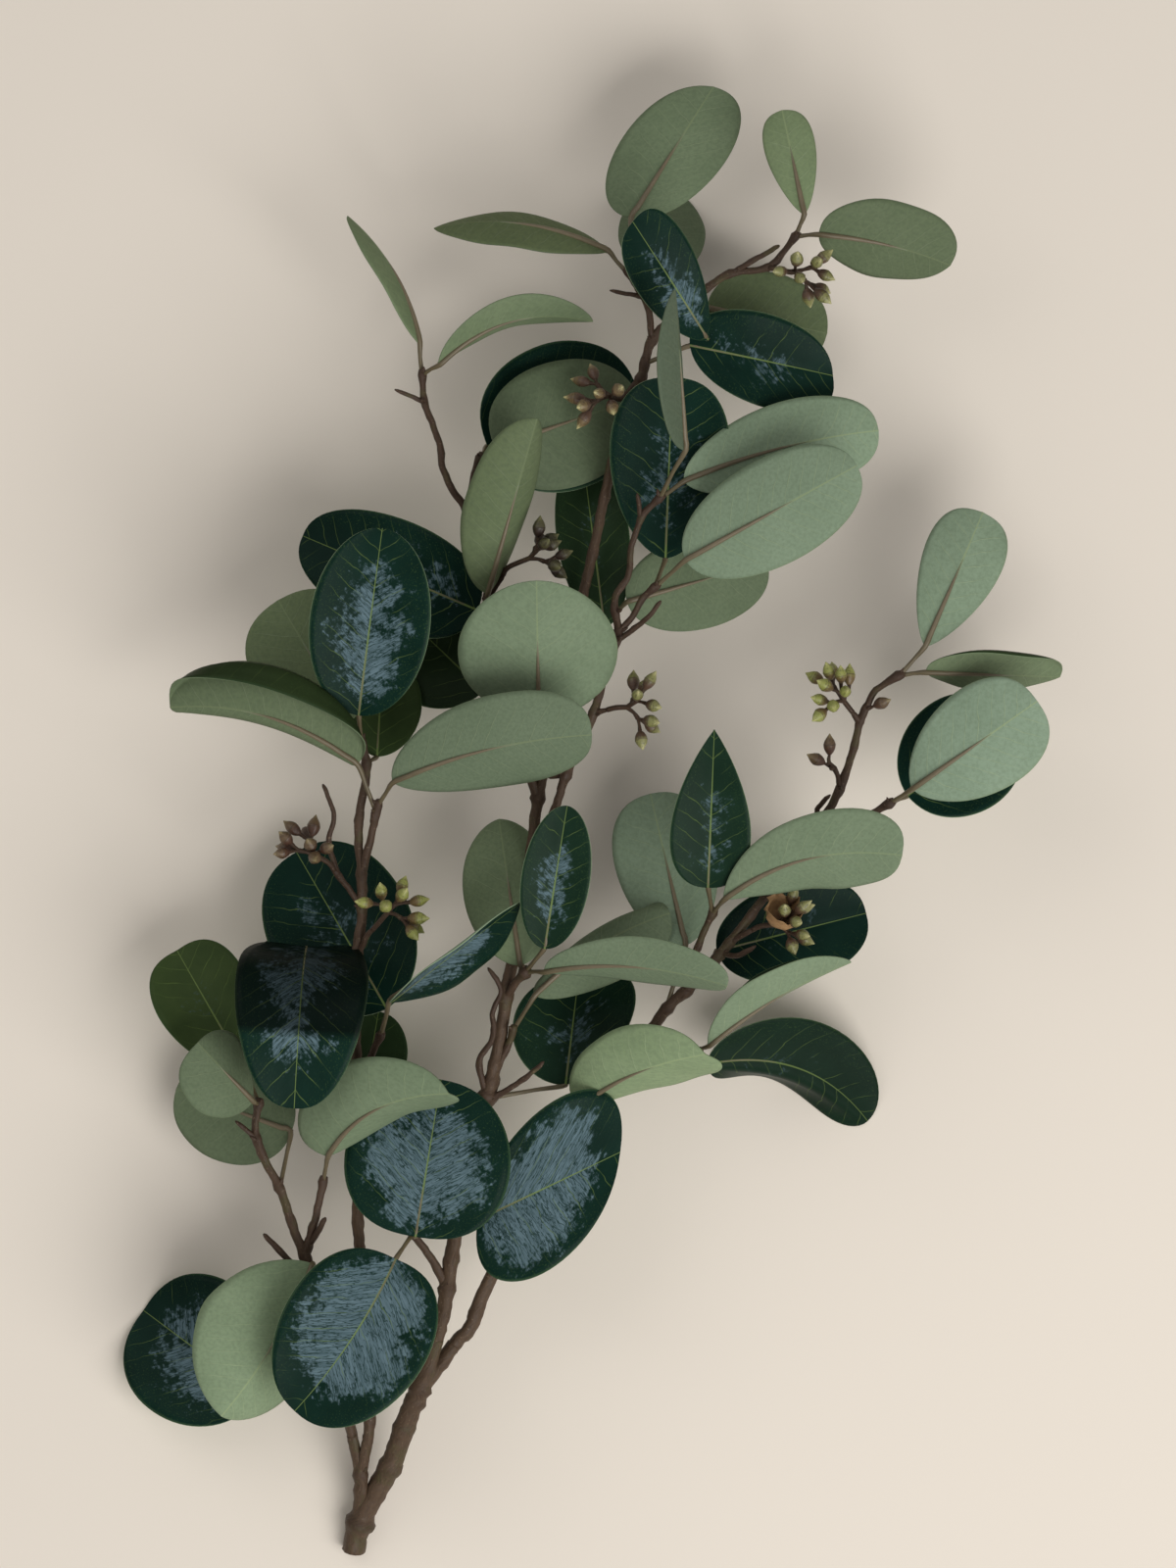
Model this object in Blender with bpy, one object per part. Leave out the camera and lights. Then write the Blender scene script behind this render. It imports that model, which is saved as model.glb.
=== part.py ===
"""A cut eucalyptus sprig with gum nuts, lying on a surface: one forked woody stem, leafy shoots and bunches of nuts.

Every place is read off a flat map of the sprig: x runs right and y runs down, both in map units,
and the height above the surface is in millimetres.
"""

import math
import random

import bmesh
import bpy
from mathutils import Matrix, Vector

MAP_UNIT = 0.0004  # metres in one map unit
MM = 0.001
JOINT_GAP = 0.3 * MM  # between two solids that meet end to end
COUPLING = 3 * MM  # straight run on each side of such a meeting
TWIG_OVERRUN = 2.5 * MM  # wood past the last leaf pair of a twig
SLIGHT_TWIG_RADIUS = 1.65 * MM  # twigs up to this one get four sides

BLADE_THICKNESS = 0.9 * MM
STALK_THICKNESS = 1.7 * MM
STALK_HALF_WIDTH = 0.85 * MM
TIP_HALF_WIDTH = 0.8 * MM
BLADE_STEPS = 6
STALK_STEPS = 2

NUT_LENGTH = 9.0 * MM
NUT_RADIUS = 2.7 * MM
NUT_STALK_RADIUS = 0.7 * MM
BUNCH_STALK_RADIUS = 1.1 * MM
ARM_RADIUS = 0.9 * MM
NUTS_ON_ARM = 3
GOLDEN_ANGLE = math.radians(137.5)
SEED = 7

BARK = ("bark", (0.17, 0.115, 0.09), 0.55)
LEAF = ("leaf", (0.10, 0.18, 0.12), 0.5)
NUT = ("nut", (0.36, 0.34, 0.13), 0.45)

# Outline of a blade: half width goes as t**base * (1 - t)**tip along the rib. A low power is blunt.
OUTLINES = {
    "broad": (0.38, 0.44),
    "round": (0.46, 0.42),
    "blunt": (0.58, 0.38),
    "spoon": (0.75, 0.34),
    "oval": (0.55, 0.52),
    "lance": (0.75, 0.75),
    "pointed": (0.50, 0.95),
}

DARK, PALE = 0, 180  # degrees of roll that turn the upper side, or the underside, to the viewer

# Branches of each woody node: points (x, y, height mm, radius mm). The first branch carries the others.
WOOD = {
    "trunk": [
        [(357, 1594, 5.5, 4.8), (364, 1562, 9, 4.8), (382, 1528, 15, 4.7), (397, 1500, 21, 4.6),
         (413, 1455, 30, 4.3), (428, 1420, 37, 3.8), (437, 1395, 41, 3.3), (445, 1368, 44, 3.1)],
        [(428, 1420, 37, 3.5), (447, 1397, 38, 3.1), (463, 1375, 39, 3.0)],
        [(364, 1562, 9, 3.0), (365, 1538, 14, 2.8), (366, 1512, 19, 2.6), (357, 1470, 25, 2.2)],
        [(366, 1512, 19, 2.4), (374, 1470, 28, 2.3)],
    ],
    "shoot_lower_left": [
        [(352, 1440, 30, 2.2), (345, 1400, 36, 2.2), (333, 1350, 42, 2.1), (320, 1310, 46, 2.1),
         (310, 1283, 48, 2.0), (300, 1258, 50, 1.9), (286, 1216, 52, 1.8), (268, 1180, 54, 1.7),
         (260, 1152, 55, 1.6), (264, 1127, 57, 1.4)],
        [(310, 1283, 48, 1.8), (318, 1255, 50, 1.7), (322, 1240, 51, 1.6), (329, 1207, 53, 1.6)],
        [(317, 1303, 47, 1.3), (296, 1289, 49, 1.3), (268, 1260, 51, 1.1)],
        [(313, 1274, 48, 1.3), (321, 1262, 52, 1.3), (332, 1243, 56, 1.2)],
        [(263, 1165, 55, 1.1), (252, 1154, 57, 1.0), (240, 1144, 59, 0.9)],
    ],
    "shoot_left": [
        [(375, 1440, 32, 2.3), (374, 1400, 36, 2.3), (372, 1340, 40, 2.3), (367, 1280, 44, 2.3),
         (364, 1240, 46, 2.3), (366, 1180, 48, 2.2), (366, 1120, 50, 2.2), (363, 1084, 52, 2.2),
         (362, 1040, 54, 2.1), (362, 1002, 56, 2.1), (365, 965, 57, 2.1), (369, 933, 58, 2.0),
         (369, 892, 60, 2.0), (366, 860, 61, 1.8), (367, 830, 62, 1.8), (373, 800, 63, 1.7),
         (374, 775, 64, 1.6), (369, 757, 66, 1.4)],
        [(369, 892, 60, 1.7), (378, 858, 65, 1.6), (383, 834, 68, 1.5), (386, 822, 70, 1.4)],
        [(366, 1110, 50, 1.6), (378, 1080, 56, 1.5), (388, 1058, 60, 1.3)],
        [(365, 975, 57, 1.2), (375, 955, 63, 1.1), (382, 947, 66, 1.1)],
        [(368, 925, 58, 1.3), (355, 905, 61, 1.2), (345, 893, 64, 1.2), (340, 886, 66, 1.1)],
        [(345, 893, 64, 1.2), (336, 858, 66, 1.1), (341, 832, 68, 1.0), (330, 800, 70, 0.9)],
    ],
    "shoot_middle": [
        [(453, 1335, 46, 3.1), (462, 1275, 48, 3.0), (470, 1220, 50, 3.0), (482, 1170, 52, 2.9),
         (497, 1120, 53, 2.8), (507, 1075, 54, 2.7), (514, 1035, 55, 2.6), (517, 1010, 55, 2.6),
         (524, 975, 55, 2.5), (533, 925, 55, 2.5), (541, 880, 56, 2.4), (549, 815, 58, 2.3),
         (556, 785, 60, 2.1)],
        [(549, 815, 58, 2.0), (541, 792, 61, 1.9), (535, 770, 63, 1.8)],
        [(535, 915, 55, 1.9), (552, 872, 61, 1.8), (563, 835, 65, 1.8), (569, 818, 67, 1.8)],
        [(516, 1018, 55, 1.8), (526, 1003, 61, 1.7), (536, 992, 65, 1.5)],
        [(500, 1105, 53, 1.7), (516, 1072, 55, 1.5), (523, 1052, 58, 1.3)],
        [(497, 1118, 53, 1.4), (489, 1084, 58, 1.3), (503, 1058, 61, 1.2), (503, 1032, 63, 1.1),
         (511, 1010, 65, 1.0), (498, 987, 68, 0.9)],
        [(500, 1122, 53, 1.3), (520, 1111, 57, 1.2), (541, 1096, 61, 1.0), (555, 1083, 64, 0.9)],
        [(455, 1315, 46, 1.9), (440, 1285, 51, 1.7), (421, 1259, 56, 1.4)],
    ],
    "shoot_upper_left": [
        [(528, 740, 63, 1.8), (519, 705, 62, 1.8), (510, 670, 61, 1.8), (503, 635, 60, 1.8),
         (499, 610, 60, 1.7), (490, 565, 60, 1.6), (479, 527, 61, 1.6), (462, 500, 61, 1.5),
         (452, 478, 61, 1.4), (449, 455, 61, 1.4), (441, 432, 62, 1.3), (433, 410, 62, 1.3),
         (431, 383, 63, 1.2)],
        [(479, 527, 61, 1.4), (481, 500, 64, 1.3), (485, 480, 66, 1.3), (490, 468, 67, 1.2)],
        [(433, 410, 62, 1.0), (418, 404, 64, 0.9), (403, 398, 66, 0.8)],
        [(499, 610, 60, 1.2), (509, 594, 64, 1.1), (515, 585, 66, 1.1)],
    ],
    "shoot_top": [
        [(561, 750, 60, 2.1), (572, 700, 59, 2.1), (585, 650, 58, 2.1), (596, 603, 57, 2.1),
         (608, 550, 57, 2.0), (616, 510, 57, 2.0), (626, 465, 57, 1.9), (640, 420, 57, 1.9),
         (656, 380, 57, 1.8), (665, 348, 58, 1.8), (690, 322, 60, 1.7), (714, 300, 62, 1.6),
         (745, 280, 64, 1.5), (783, 274, 66, 1.4), (800, 257, 68, 1.3), (811, 243, 70, 1.2)],
        [(665, 348, 58, 1.5), (662, 318, 61, 1.4), (652, 295, 63, 1.3), (640, 279, 66, 1.2)],
        [(655, 303, 62, 1.0), (639, 300, 64, 0.9), (622, 297, 66, 0.8)],
        [(745, 280, 64, 1.2), (770, 266, 67, 1.1), (795, 252, 71, 1.0)],
        [(654, 385, 57, 1.1), (644, 396, 57, 1.1), (638, 402, 57, 1.1)],
        [(783, 274, 66, 1.1), (793, 276, 69, 1.1), (801, 278, 71, 1.1)],
    ],
    "shoot_upper_right": [
        [(575, 797, 69, 1.8), (588, 765, 70, 1.8), (603, 735, 70, 1.8), (615, 695, 70, 1.7),
         (624, 665, 70, 1.7), (631, 645, 70, 1.6), (627, 612, 71, 1.4), (641, 588, 72, 1.3),
         (644, 560, 74, 1.3), (654, 530, 76, 1.2), (665, 517, 78, 1.2), (673, 510, 79, 1.1)],
        [(631, 645, 70, 1.4), (645, 630, 72, 1.3), (655, 612, 74, 1.3), (668, 600, 76, 1.2)],
        [(628, 655, 70, 1.2), (650, 640, 74, 1.1), (664, 627, 78, 1.0), (674, 614, 81, 0.9)],
        [(578, 790, 69, 1.4), (562, 792, 67, 1.3), (558, 788, 66, 1.2)],
        [(606, 728, 70, 1.2), (614, 726, 72, 1.1), (622, 724, 74, 1.1)],
        [(654, 530, 76, 1.0), (650, 505, 80, 0.9)],
    ],
    "shoot_right": [
        [(479, 1357, 40, 3.0), (494, 1318, 41, 2.9), (509, 1292, 42, 2.8), (535, 1250, 43, 2.7),
         (565, 1205, 44, 2.5), (600, 1150, 45, 2.4), (626, 1112, 46, 2.4), (650, 1076, 47, 2.3),
         (678, 1033, 49, 2.2), (709, 1004, 52, 2.1), (728, 982, 54, 2.0), (745, 962, 55, 1.9),
         (773, 925, 57, 1.8), (800, 890, 57, 1.8), (822, 862, 57, 1.8)],
        [(702, 1010, 52, 1.6), (708, 978, 58, 1.5), (717, 953, 62, 1.4), (727, 932, 65, 1.3)],
        [(745, 962, 55, 1.3), (760, 953, 59, 1.2), (770, 948, 61, 1.1)],
        [(736, 973, 54, 1.2), (752, 975, 61, 1.1), (771, 965, 65, 0.9)],
        [(622, 1118, 46, 1.6), (665, 1098, 49, 1.5), (698, 1081, 52, 1.4), (711, 1074, 54, 1.3)],
    ],
    "shoot_right_tip": [
        [(837, 842, 58, 1.8), (846, 827, 59, 1.8), (857, 805, 60, 1.7), (868, 775, 61, 1.6),
         (873, 755, 62, 1.6), (877, 737, 63, 1.5), (882, 725, 64, 1.4), (891, 708, 66, 1.4),
         (904, 697, 68, 1.3), (917, 690, 69, 1.3)],
        [(877, 737, 63, 1.3), (872, 730, 65, 1.2), (868, 725, 66, 1.1)],
        [(857, 805, 60, 1.1), (853, 788, 64, 0.9), (846, 778, 66, 0.8), (846, 768, 67, 0.7)],
        [(849, 783, 65, 0.8), (839, 778, 67, 0.7)],
        [(883, 724, 64, 0.9), (893, 720, 67, 0.7)],
        [(842, 835, 59, 1.6), (862, 838, 61, 1.5), (884, 833, 63, 1.5), (907, 820, 66, 1.4)],
        [(838, 839, 58, 1.2), (834, 826, 61, 1.1), (847, 811, 66, 0.9)],
    ],
}

# Solid that each shoot grows from, and the branch of it whose end it meets.
GROWS_FROM = {
    "shoot_lower_left": ("trunk", 2),
    "shoot_left": ("trunk", 3),
    "shoot_middle": ("trunk", 0),
    "shoot_right": ("trunk", 1),
    "shoot_upper_left": ("shoot_middle", 1),
    "shoot_top": ("shoot_middle", 0),
    "shoot_upper_right": ("shoot_middle", 2),
    "shoot_right_tip": ("shoot_right", 0),
}

# Leaves of each shoot: stalk root, neck and tip (x, y, height mm), width mm, outline, side shown,
# roll and fold in degrees, arch and sway in mm, and for some a lean. Fold lifts both halves to the
# dark side. Lean draws the right half on towards the tip, and the left half back.
LEAVES = {
    "shoot_lower_left": [
        ((320, 1311, 46), (318, 1290, 55), (226, 1444, 66), 58, "oval", PALE, -28, 28, 3, 3),
        ((347, 1412, 34), (262, 1430, 24), (140, 1345, 2), 62, "round", DARK, 0, 8, 2, 0),
        ((264, 1127, 57), (258, 1124, 63), (203, 1063, 78), 38, "blunt", PALE, 35, 15, 3, 0),
        ((264, 1127, 57), (248, 1089, 50), (178, 971, 34), 40, "blunt", DARK, 0, 10, 3, 0),
        ((285, 1212, 52), (296, 1156, 42), (176, 1114, 22), 44, "round", PALE, 0, 8, 0, 0),
        ((329, 1207, 53), (335, 1179, 64), (459, 1113, 92), 39, "broad", PALE, 31, 33, 4, 8, 0.6),
    ],
    "shoot_left": [
        ((388, 1058, 60), (394, 1030, 46), (300, 870, 26), 59, "round", DARK, 0, 8, -2, 0),
        ((388, 1058, 60), (399, 1022, 71), (531, 920, 80), 40, "lance", DARK, 70, 15, 5, 0),
        ((362, 990, 56), (312, 968, 34), (302, 1129, 84), 54, "round", DARK, 0, 5, 30, 0),
        ((366, 1150, 49), (368, 1130, 34), (384, 1035, 16), 30, "oval", DARK, 0, 10, 0, 0),
        ((362, 1040, 54), (335, 1040, 30), (258, 972, 2), 38, "oval", DARK, 0, 10, 0, 0),
        ((386, 822, 70), (402, 798, 78), (604, 750, 96), 42, "blunt", PALE, 25, 15, 5, 4),
        ((384, 828, 69), (366, 780, 76), (175, 722, 72), 50, "oval", PALE, -20, 20, 8, 0),
        ((369, 757, 66), (367, 730, 76), (392, 541, 92), 49, "oval", DARK, 0, 12, 5, 0),
        ((369, 757, 66), (357, 736, 58), (283, 612, 50), 50, "blunt", PALE, 0, 8, 2, 0),
        ((373, 780, 64), (384, 772, 50), (390, 668, 34), 34, "oval", DARK, 15, 10, 2, 0),
    ],
    "shoot_middle": [
        ((421, 1259, 56), (404, 1284, 66), (302, 1437, 78), 61, "broad", DARK, 0, 8, 4, 3),
        ((421, 1259, 56), (424, 1262, 61), (450, 1102, 56), 68, "broad", DARK, 0, 2, 1, 0),
        ((466, 1250, 49), (487, 1246, 51), (633, 1176, 56), 62, "round", DARK, 0, 6, 2, 0, -0.65),
        ((505, 1120, 53), (577, 1108, 44), (591, 993, 30), 49, "blunt", DARK, 0, 10, 0, 0, 0.3),
        ((536, 992, 65), (531, 985, 60), (509, 836, 50), 38, "oval", PALE, 0, 15, 4, 0),
        ((536, 992, 65), (556, 967, 78), (579, 822, 92), 28, "oval", DARK, 0, 15, 3, 0),
        ((536, 992, 65), (556, 990, 74), (741, 1004, 94), 28, "blunt", PALE, 50, 15, 4, 5),
        ((523, 1052, 58), (546, 1016, 52), (684, 932, 52), 34, "blunt", PALE, 0, 15, 3, 4),
    ],
    "shoot_upper_left": [
        ((490, 468, 67), (497, 455, 54), (650, 392, 22), 61, "broad", DARK, 0, 6, 3, 0),
        ((490, 468, 67), (505, 457, 62), (652, 404, 40), 52, "broad", PALE, 0, 6, 2, 0),
        ((431, 383, 63), (427, 350, 66), (354, 220, 54), 28, "lance", PALE, 78, 15, 3, -5),
        ((431, 383, 63), (448, 372, 68), (605, 328, 62), 26, "lance", PALE, 65, 15, 3, 9),
        ((499, 610, 60), (497, 606, 68), (548, 430, 88), 32, "oval", PALE, 35, 35, 3, 0),
        ((503, 635, 60), (487, 622, 48), (307, 545, 32), 45, "broad", DARK, 0, 8, 3, 0),
        ((515, 690, 62), (493, 705, 44), (417, 632, 20), 48, "round", DARK, 0, 8, 0, 0),
    ],
    "shoot_top": [
        ((811, 243, 70), (820, 221, 73), (798, 113, 62), 21, "spoon", PALE, 0, 15, 2, 0),
        ((811, 243, 70), (835, 240, 72), (970, 270, 56), 38, "round", PALE, 36, 12, 4, 2),
        ((640, 279, 66), (620, 258, 69), (443, 233, 58), 24, "lance", PALE, 50, 15, 3, -6),
        ((648, 289, 64), (644, 221, 50), (729, 84, 34), 41, "round", PALE, 0, 8, 3, 0, 0.4),
        ((652, 295, 63), (662, 272, 40), (692, 188, 2), 36, "oval", PALE, 0, 8, 0, 0),
        ((703, 310, 61), (722, 347, 68), (645, 231, 94), 29, "spoon", DARK, 8, 8, 5, 0, 0.3),
        ((660, 370, 57), (704, 353, 64), (850, 383, 56), 38, "round", DARK, 0, 10, 4, 0, 0.35),
        ((700, 313, 61), (722, 312, 46), (846, 336, 24), 40, "round", PALE, 0, 8, 0, 0),
    ],
    "shoot_upper_right": [
        ((673, 510, 79), (697, 462, 96), (687, 303, 118), 32, "lance", PALE, 72, 15, 3, 0),
        ((673, 510, 79), (698, 492, 74), (896, 440, 66), 37, "blunt", PALE, 0, 10, 4, 3),
        ((668, 600, 76), (679, 570, 65), (686, 386, 72), 49, "blunt", DARK, 0, 8, -2, 0),
        ((668, 600, 76), (699, 573, 84), (872, 478, 96), 43, "round", PALE, 0, 10, 4, 0),
        ((629, 625, 71), (640, 614, 56), (784, 572, 38), 39, "round", PALE, 0, 8, 2, 0),
        ((624, 665, 70), (617, 640, 48), (594, 458, 30), 30, "oval", DARK, 0, 10, 3, 0),
        ((559, 790, 66), (550, 737, 66), (548, 594, 92), 65, "oval", PALE, 0, 8, 6, 0),
    ],
    "shoot_right": [
        ((602, 1146, 45), (592, 1130, 50), (719, 1074, 82), 35, "blunt", PALE, 28, 26, 3, 4, 0.6),
        ((680, 1030, 49), (700, 965, 50), (664, 810, 36), 42, "blunt", PALE, 0, 10, 0, 0),
        ((727, 932, 65), (722, 905, 76), (728, 745, 90), 33, "pointed", DARK, 0, 12, 5, 0),
        ((727, 932, 65), (738, 917, 78), (918, 872, 93), 38, "spoon", PALE, 30, 12, 5, 8),
        ((728, 982, 54), (732, 971, 45), (886, 933, 28), 41, "round", DARK, 0, 8, 0, 0),
        ((711, 1074, 54), (723, 1066, 60), (868, 981, 68), 34, "lance", PALE, 65, 15, 2, 3),
        ((703, 1078, 53), (722, 1087, 42), (889, 1149, 2), 42, "oval", DARK, 0, 12, 2, 11),
    ],
    "shoot_right_tip": [
        ((917, 690, 69), (943, 660, 72), (1003, 523, 60), 33, "spoon", PALE, 0, 10, 3, 0),
        ((917, 690, 69), (944, 685, 71), (1082, 690, 56), 34, "oval", PALE, 55, 15, 4, 0),
        ((907, 820, 66), (930, 805, 74), (1055, 716, 90), 44, "blunt", PALE, 0, 10, 3, 0),
        ((907, 820, 66), (926, 812, 58), (1030, 735, 34), 49, "round", DARK, 0, 8, 0, 0),
    ],
}

# Bunches of nuts: wood they grow from, its branch, crown (x, y, height mm), number of nuts, spread degrees.
BUNCHES = {
    "nuts_left": ("shoot_left", 4, (322, 872, 72), 9, 75),
    "nuts_middle_left": ("shoot_left", 3, (397, 930, 74), 9, 75),
    "nuts_upper_left": ("shoot_upper_left", 3, (541, 570, 70), 8, 60),
    "nuts_top": ("shoot_top", 4, (622, 404, 62), 8, 75),
    "nuts_top_right": ("shoot_top", 5, (812, 279, 76), 9, 75),
    "nuts_middle": ("shoot_upper_right", 4, (640, 722, 78), 8, 75),
    "nuts_right": ("shoot_right", 2, (793, 943, 68), 8, 60),
    "nuts_right_tip": ("shoot_right_tip", 1, (860, 715, 69), 10, 65),
}

# Single brown nuts at twig ends of the right tip: branch of the wood.
SINGLE_NUTS = {"shoot_right_tip": [2, 3, 4]}


def place(x, y, height):
    """Point in metres from map x and y and a height in millimetres."""
    return Vector((x * MAP_UNIT, -y * MAP_UNIT, height * MM))


def clear_scene():
    for obj in list(bpy.data.objects):
        bpy.data.objects.remove(obj, do_unlink=True)


def make_material(name, colour, roughness):
    material = bpy.data.materials.new(name)
    material.use_nodes = True
    shader = material.node_tree.nodes["Principled BSDF"]
    shader.inputs["Base Color"].default_value = (*colour, 1)
    shader.inputs["Roughness"].default_value = roughness
    return material


def add_object(name, mesh, collection):
    obj = bpy.data.objects.new(name, mesh)
    collection.objects.link(obj)
    return obj


def tube(name, points, radii, collection, resolution=1):
    """A closed tube mesh along points, made by a bevelled poly curve with its caps welded on."""
    curve = bpy.data.curves.new(name, "CURVE")
    curve.dimensions = "3D"
    curve.bevel_depth = 1.0
    curve.bevel_resolution = resolution
    curve.use_fill_caps = True
    spline = curve.splines.new("POLY")
    spline.points.add(len(points) - 1)
    for spline_point, point, radius in zip(spline.points, points, radii):
        spline_point.co = (*point, 1)
        spline_point.radius = radius
    guide = add_object(name + "_guide", curve, collection)
    graph = bpy.context.evaluated_depsgraph_get()
    mesh = bpy.data.meshes.new_from_object(guide.evaluated_get(graph))
    bpy.data.objects.remove(guide)
    weld(mesh)
    return add_object(name, mesh, collection)


def weld(mesh):
    form = bmesh.new()
    form.from_mesh(mesh)
    bmesh.ops.remove_doubles(form, verts=form.verts, dist=1e-6)
    bmesh.ops.recalc_face_normals(form, faces=form.faces)
    form.to_mesh(mesh)
    form.free()


def branch_points(node, index):
    """Centre line and radii of one branch in metres. A first branch starts where the wood before it ends."""
    rows = WOOD[node][index]
    points = [place(x, y, height) for x, y, height, _ in rows]
    radii = [radius * MM for *_, radius in rows]
    if index == 0 and node in GROWS_FROM:
        foot, way, radius = branch_end(*GROWS_FROM[node])
        start = foot + way * JOINT_GAP
        points = [start, start + way * COUPLING] + points
        radii = [radius, radius] + radii
    if ends_in_leaves(node, index):
        points[-1] = points[-1] + (points[-1] - points[-2]).normalized() * TWIG_OVERRUN
    return points, radii


def branch_end(node, index):
    """End point, direction and radius of a branch."""
    first, last = [place(*row[:3]) for row in WOOD[node][index][-2:]]
    return last, (last - first).normalized(), WOOD[node][index][-1][3] * MM


def ends_in_leaves(node, index):
    end = WOOD[node][index][-1][:3]
    return any(leaf[0] == end for leaf in LEAVES.get(node, []))


def bezier(start, control, end, share):
    return start * (1 - share) ** 2 + control * (2 * share * (1 - share)) + end * share**2


def outline_share(outline, share):
    """Half width of a blade at a share of its length, as a part of the widest."""
    base, tip = OUTLINES[outline]
    widest = base / (base + tip)
    return (share / widest) ** base * ((1 - share) / (1 - widest)) ** tip


def leaf_rows(root, neck, tip, width, outline, side, roll, fold, arch, sway, lean=0.0):
    """Rows of a leaf from its stalk's root to its tip: (centre, across, upward, lift, half width, thickness)."""
    root, neck, tip = place(*root), place(*neck), place(*tip)
    along = (tip - neck).normalized()
    across = along.cross(Vector((0, 0, 1))).normalized()
    upward = across.cross(along)
    control = (neck + tip) / 2 + upward * (2 * arch * MM) - across * (2 * sway * MM)
    turn = Matrix.Rotation(math.radians(side + roll), 3, along)
    across, upward = turn @ across, turn @ upward
    across = across + along * (lean * math.cos(math.radians(side)))

    def facing(tangent):
        bend = along.rotation_difference(tangent)
        return bend @ across, bend @ upward

    stalk_way = (neck - root).normalized()
    rows = []
    for step in range(STALK_STEPS):
        centre = root.lerp(neck, step / STALK_STEPS)
        rows.append((centre, *facing(stalk_way), 0.0, STALK_HALF_WIDTH, STALK_THICKNESS))
    for step in range(BLADE_STEPS + 1):
        share = (1 - math.cos(math.pi * step / BLADE_STEPS)) / 2
        centre = bezier(neck, control, tip, share)
        tangent = ((control - neck) * (1 - share) + (tip - control) * share).normalized()
        if step == 0:
            tangent = (2 * tangent + stalk_way).normalized()
        narrowest = STALK_HALF_WIDTH if step == 0 else TIP_HALF_WIDTH
        half = max(outline_share(outline, share) * width * MM / 2, narrowest)
        thickness = STALK_THICKNESS if step == 0 else BLADE_THICKNESS
        lift = math.tan(math.radians(fold)) if step else 0.0
        rows.append((centre, *facing(tangent), lift, half, thickness))
    return rows


def leaf(name, spec, collection):
    """A closed leaf: a stalk that opens into a folded blade, its two faces split into triangles alike."""
    form = bmesh.new()
    loops = []
    for centre, across, upward, lift, half, thickness in leaf_rows(*spec):
        loop = []
        for face in (0.5, -0.5):
            for part in (-1, 0, 1) if face > 0 else (1, 0, -1):
                rise = upward * (lift * half * abs(part) + face * thickness)
                loop.append(form.verts.new(centre + across * (half * part) + rise))
        loops.append(loop)
    count = len(loops[0])
    for low, high in zip(loops, loops[1:]):
        for side in range(count):
            after = (side + 1) % count
            corners = (low[side], low[after], high[after], high[side])
            cut = 0 if side in (0, 4) else 1
            form.faces.new((corners[cut], corners[cut + 1], corners[cut + 2]))
            form.faces.new((corners[cut], corners[cut + 2], corners[(cut + 3) % 4]))
    for loop in (loops[0][::-1], loops[-1]):
        form.faces.new((loop[0], loop[1], loop[4], loop[5]))
        form.faces.new((loop[1], loop[2], loop[3], loop[4]))
    bmesh.ops.recalc_face_normals(form, faces=form.faces)
    mesh = bpy.data.meshes.new(name)
    form.to_mesh(mesh)
    form.free()
    return add_object(name, mesh, collection)


def nut(name, foot, way, collection):
    """A pear-shaped, pointed nut that stands on foot and points along way."""
    form = bmesh.new()
    bmesh.ops.create_uvsphere(form, u_segments=5, v_segments=4, radius=1)
    for vert in form.verts:
        height = vert.co.z
        girth = NUT_RADIUS * (1 - 0.28 * height)
        vert.co = Vector((vert.co.x * girth, vert.co.y * girth, (height + 0.8) / 2 * NUT_LENGTH))
    turn = Vector((0, 0, 1)).rotation_difference(way).to_matrix().to_4x4()
    bmesh.ops.transform(form, matrix=Matrix.Translation(foot) @ turn, verts=form.verts)
    mesh = bpy.data.meshes.new(name)
    form.to_mesh(mesh)
    form.free()
    return add_object(name, mesh, collection)


def fuse(name, body, pieces, material, collection):
    """Joins a collection of pieces to body by one Boolean union, and clears the pieces away."""
    collection.objects.link(body)
    for owner in list(body.users_collection):
        if owner != collection:
            owner.objects.unlink(body)
    body.name = name
    if pieces.objects:
        union = body.modifiers.new("union", "BOOLEAN")
        union.operation = "UNION"
        union.operand_type = "COLLECTION"
        union.collection = pieces
        union.solver = "MANIFOLD"
        graph = bpy.context.evaluated_depsgraph_get()
        joined = bpy.data.meshes.new_from_object(body.evaluated_get(graph))
        body.modifiers.clear()
        body.data = joined
    for piece in list(pieces.objects):
        bpy.data.objects.remove(piece)
    bpy.data.collections.remove(pieces)
    tidy_mesh(body.data)
    body.data.materials.clear()
    body.data.materials.append(material)
    body.data.shade_smooth()
    body.data.set_sharp_from_angle(angle=math.radians(40))
    return body


def tidy_mesh(mesh):
    """Triangulates, and closes up the slivers that a union leaves."""
    form = bmesh.new()
    form.from_mesh(mesh)
    bmesh.ops.triangulate(form, faces=form.faces)
    bmesh.ops.remove_doubles(form, verts=form.verts, dist=2e-6)
    bmesh.ops.dissolve_degenerate(form, edges=form.edges, dist=2e-6)
    bmesh.ops.triangulate(form, faces=form.faces)
    form.to_mesh(mesh)
    form.free()


def new_pieces(name):
    pieces = bpy.data.collections.new(name + "_pieces")
    bpy.context.scene.collection.children.link(pieces)
    return pieces


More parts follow.
